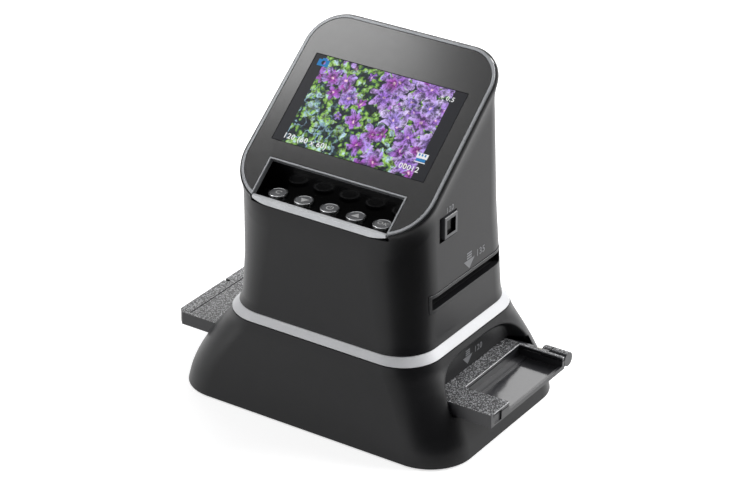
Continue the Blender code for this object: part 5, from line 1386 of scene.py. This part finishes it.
class Holder(Operator):
    """Roll film holder: tray with its open well, lid and hinge"""
    bl_idname = "scanner.holder"
    bl_label = "Film holder"
    bl_options = {"REGISTER", "UNDO"}

    def execute(self, context):
        self.add_tray()
        self.add_lid()
        return {"FINISHED"}

    def knuckles(self, piece, start, end, web_z):
        for side in (-1, 1):
            low, high = sorted((side * start, side * end))
            weld(piece, block("web", (low + WEB_INSET, high - WEB_INSET),
                              ((WELL_Y[1] + LID_BACK) / 2, HINGE_Y), web_z),
                 rod("knuckle", HINGE_RADIUS, (low, HINGE_Y, HINGE_Z), (high, HINGE_Y, HINGE_Z),
                     KNUCKLE_SIDES))
            cut(piece, rod("bore", PIN_ROOM, (side * PIN_START_X, HINGE_Y, HINGE_Z),
                           (side * PIN_END_X, HINGE_Y, HINGE_Z), PIN_SIDES))

    def paint_edge_highlights(self, piece, index):
        """Paint highlights on the rounded top edges, as a pale glossy finish."""
        paint(piece, index, lambda face: 0.2 < face.normal.z < 0.95
              and face.center.y < HINGE_Y - HINGE_RADIUS
              and face.center.z > HOLDER_TOP_Z - EDGE_HIGHLIGHT_DEPTH)

    def gate(self):
        return block("gate", (-GATE_HALF, GATE_HALF), (OPTIC_Y - GATE_HALF, OPTIC_Y + GATE_HALF),
                     (HOLDER_LOW_Z - OVERRUN, HOLDER_TOP_Z + OVERRUN))

    def grip(self):
        return block("grip", (HOLDER_X - GRIP_DEPTH, HOLDER_X + OVERRUN), GRIP_Y,
                     (HOLDER_LOW_Z + GRIP_INSET, HOLDER_TOP_Z - GRIP_INSET))

    def add_tray(self):
        right = HOLDER_X + OVERRUN
        tray = block("film_holder", (-HOLDER_X, HOLDER_X), (HOLDER_FRONT, HOLDER_BACK),
                     (HOLDER_LOW_Z, HOLDER_TOP_Z))
        choose(tray, "EDGE", lambda part: abs(part.verts[0].co.z - part.verts[1].co.z) > 1 * MM
               and centre(part).x < 0 and centre(part).y < 0)
        bpy.ops.mesh.bevel(offset=TRAY_CHAMFER, segments=1)
        bpy.ops.object.mode_set(mode="OBJECT")
        pocket = HOLDER_X - KNUCKLE - KNUCKLE_GAP - LID_KNUCKLE - KNUCKLE_GAP
        above = HOLDER_TOP_Z + OVERRUN
        cut(tray, block("lid_bay", (LID_LEFT - GAP, right), (LID_FRONT - GAP, HOLDER_BACK + OVERRUN),
                        (LID_LOW_Z - GAP, above)),
            self.gate(),
            block("well", (WELL_X, WELL_RIM_X), WELL_Y, (WELL_FLOOR_Z, above)),
            block("well_mouth", (WELL_RIM_X - WELL_RIM, right), WELL_Y,
                  (WELL_FLOOR_Z + WELL_RIM, above)),
            block("well_step", (WELL_X + WELL_STEP_INSET, WELL_RIM_X),
                  (WELL_Y[0] + WELL_STEP_INSET, WELL_Y[1]),
                  (WELL_FLOOR_Z - WELL_STEP, WELL_FLOOR_Z + OVERRUN)),
            self.grip(),
            block("nail_notch", (-right, -HOLDER_X + NAIL_NOTCH_LENGTH), NAIL_NOTCH_Y,
                  (HOLDER_TOP_Z - NAIL_NOTCH_DEPTH, above)))
        for side in (-1, 1):
            cut(tray, block("hinge_pocket", sorted((side * pocket, side * right)),
                            (LID_BACK, HOLDER_BACK + OVERRUN), (HOLDER_LOW_Z - OVERRUN, above)))
        soften(tray, TRAY_ROUND, 2)
        self.knuckles(tray, HOLDER_X - KNUCKLE, HOLDER_X, (HOLDER_LOW_Z + WEB_INSET, HINGE_Z))
        smooth(tray)
        finish(tray, "holder", "textured", ("smooth_charcoal_abs", "spark_textured_abs",
                                            "smoked_gloss_abs", "painted_highlight_edge_abs"), "holder_tray")
        # Painted highlights on the rounded top edges
        self.paint_edge_highlights(tray, 3)
        paint(tray, 1, lambda face: face.normal.z > 0.9 and face.center.z > HOLDER_TOP_Z - 0.1 * MM)
        paint(tray, 2, lambda face: face.normal.z > 0.9 and face.center.z < WELL_FLOOR_Z + 0.2 * MM
              and face.center.x > WELL_X)

    def add_lid(self):
        lid = block("film_lid", (LID_LEFT, HOLDER_X), (LID_FRONT, LID_BACK),
                    (LID_LOW_Z, HOLDER_TOP_Z))
        cut(lid, self.gate(),
            block("lid_window", (WELL_X, HOLDER_X + OVERRUN), WELL_Y,
                  (LID_LOW_Z - OVERRUN, HOLDER_TOP_Z + OVERRUN)), self.grip())
        soften(lid, LID_ROUND, 3)
        end = HOLDER_X - KNUCKLE - KNUCKLE_GAP
        self.knuckles(lid, end - LID_KNUCKLE, end, (LID_LOW_Z + WEB_INSET, HOLDER_TOP_Z - WEB_INSET))
        smooth(lid)
        finish(lid, "holder", "textured", ("smooth_charcoal_abs", "spark_textured_abs",
                                           "painted_highlight_edge_abs"), "holder_lid")
        # Painted highlights on the rounded top edges
        self.paint_edge_highlights(lid, 2)
        paint(lid, 1, lambda face: face.normal.z > 0.9 and face.center.z > HOLDER_TOP_Z - 0.1 * MM)


class Signs(Operator):
    """Signs on the keys, on the display and beside the two film openings"""
    bl_idname = "scanner.signs"
    bl_label = "Signs"
    bl_options = {"REGISTER", "UNDO"}

    def execute(self, context):
        self.add_key_signs()
        self.add_display_signs()
        self.add_side_signs()
        return {"FINISHED"}

    def add_key_signs(self):
        seats = [Matrix.Translation(((index - 2) * KEY_PITCH, KEY_Y, KEY_TOP_Z - KEY_DISH + INK))
                 for index in range(len(KEY_NAMES))]
        signs = (figures("menu_sign", "C", KEY_LETTER, seats[0]),
                 ink_triangle("down_sign", *KEY_TRIANGLE, False, seats[1]),
                 self.power_sign(seats[2]),
                 ink_triangle("up_sign", *KEY_TRIANGLE, True, seats[3]),
                 figures("ok_sign", "OK", KEY_WORD, seats[4]))
        for sign, name in zip(signs, KEY_NAMES):
            finish(sign, name + "_key", "key_metal", "light_ink")

    def power_sign(self, seat):
        outer, inner = POWER_RADII
        ring = rod("power_sign", outer, (0, 0, -INK / 2), (0, 0, INK / 2), POWER_SIDES)
        cut(ring, rod("hollow", inner, (0, 0, -OVERRUN), (0, 0, OVERRUN), POWER_SIDES),
            block("opening", POWER_GAP, (0, OVERRUN), (-OVERRUN, OVERRUN)))
        return place_plan(join("power_sign", ring, ink_bar(*POWER_BAR, Matrix())), seat)

    def add_display_signs(self):
        top = PICTURE_SHEET - PICTURE_DROP + INK
        for name, text, height, x, y in SCREEN_FIGURES:
            sign = figures(name, text, height, PANEL @ Matrix.Translation((x, y, top)))
            finish(sign, "stand", "display_glass", "lit_figures")
        card = PANEL @ Matrix.Translation((*CARD_PLACE, top))
        white = join("card_sign", *ink_bars(CARD_FRAME, card))
        finish(white, "stand", "display_glass", "lit_figures")
        raised = card @ Matrix.Translation((0, 0, INK / 2))
        blue = join("card_fill", *ink_bars(CARD_FILL, card), *ink_bars(CARD_TEETH, raised))
        finish(blue, "stand", "display_glass", "lit_blue")
        lens = PANEL @ Matrix.Translation((*LENS_PLACE, top))
        body, hump = ink_bars(LENS_BODY + LENS_HUMP, lens)
        hole = rod("hole", LENS_RADIUS, (0, 0, -OVERRUN), (0, 0, OVERRUN))
        cut(body, place_plan(hole, lens))
        finish(join("camera_sign", body, hump), "stand", "display_glass", "lit_blue")

    def add_side_signs(self):
        for name, text, height, y, z, shell in FLANK_SIGNS:
            seat = Matrix.Translation((0, y, z)) @ FLANK
            sign = (figures(name, text, height, seat) if text
                    else slot_arrow(name, ARROW_WIDTH * height, height, seat))
            finish(laid_on(sign, bpy.data.objects[shell]), "stand", "satin_grey", "dim_ink")


class InnerParts(Operator):
    """Finishes of the nodes that stay as they are packed"""
    bl_idname = "scanner.inner_parts"
    bl_label = "Inner parts"
    bl_options = {"REGISTER", "UNDO"}

    LOOKS = {"nitrile_rubber": ("foot_",),
             "nickel_plated_steel": ("screw_", "tower_screw_", "hinge_pin_", "usb_socket",
                                     "card_socket", "lens_barrel"),
             "solder_mask_board": ("key_board", "main_board", "sensor_board"),
             "white_polycarbonate": ("led_board", "lamp_box"), "opal_polycarbonate": ("diffuser",),
             "polished_black_abs": ("button_tray",), "display_glass": ("lcd_module",)}

    def execute(self, context):
        for name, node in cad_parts.items():
            if node.hide_render:
                continue
            look = next((look for look, starts in self.LOOKS.items() if name.startswith(starts)),
                        "matt_black_abs")
            node.data.materials.clear()
            node.data.materials.append(made_finish(look))
        return {"FINISHED"}


class ScannerPanel(Panel):
    """Sizes, colours and the operators of the scanner's pieces"""
    bl_idname = "VIEW3D_PT_scanner"
    bl_label = "Film negative scanner"
    bl_space_type = "VIEW_3D"
    bl_region_type = "UI"
    bl_category = "Scanner"

    def draw(self, context):
        layout = self.layout
        for group in (context.scene.scanner_sizes, context.scene.scanner_colours):
            column = layout.column(align=True)
            for name in group.bl_rna.properties.keys():
                if name not in ("rna_type", "name"):
                    column.prop(group, name)
        for step in STEPS:
            layout.operator(step.bl_idname)


STEPS = (Stage, BaseShell, LightRing, TowerShell, Screen, Keys, Selector, FilmSlots, Holder, Signs,
         InnerParts)
CLASSES = (ScannerColours, ScannerSizes, *STEPS, ScannerPanel)


def register():
    for item in CLASSES:
        bpy.utils.register_class(item)
    bpy.types.Scene.scanner_colours = PointerProperty(type=ScannerColours)
    bpy.types.Scene.scanner_sizes = PointerProperty(type=ScannerSizes)


def unregister():
    del bpy.types.Scene.scanner_sizes
    del bpy.types.Scene.scanner_colours
    for item in reversed(CLASSES):
        bpy.utils.unregister_class(item)


def main():
    register()
    for step in STEPS:
        group, name = step.bl_idname.split(".")
        getattr(getattr(bpy.ops, group), name)()
    settle()


if __name__ == "__main__":
    main()
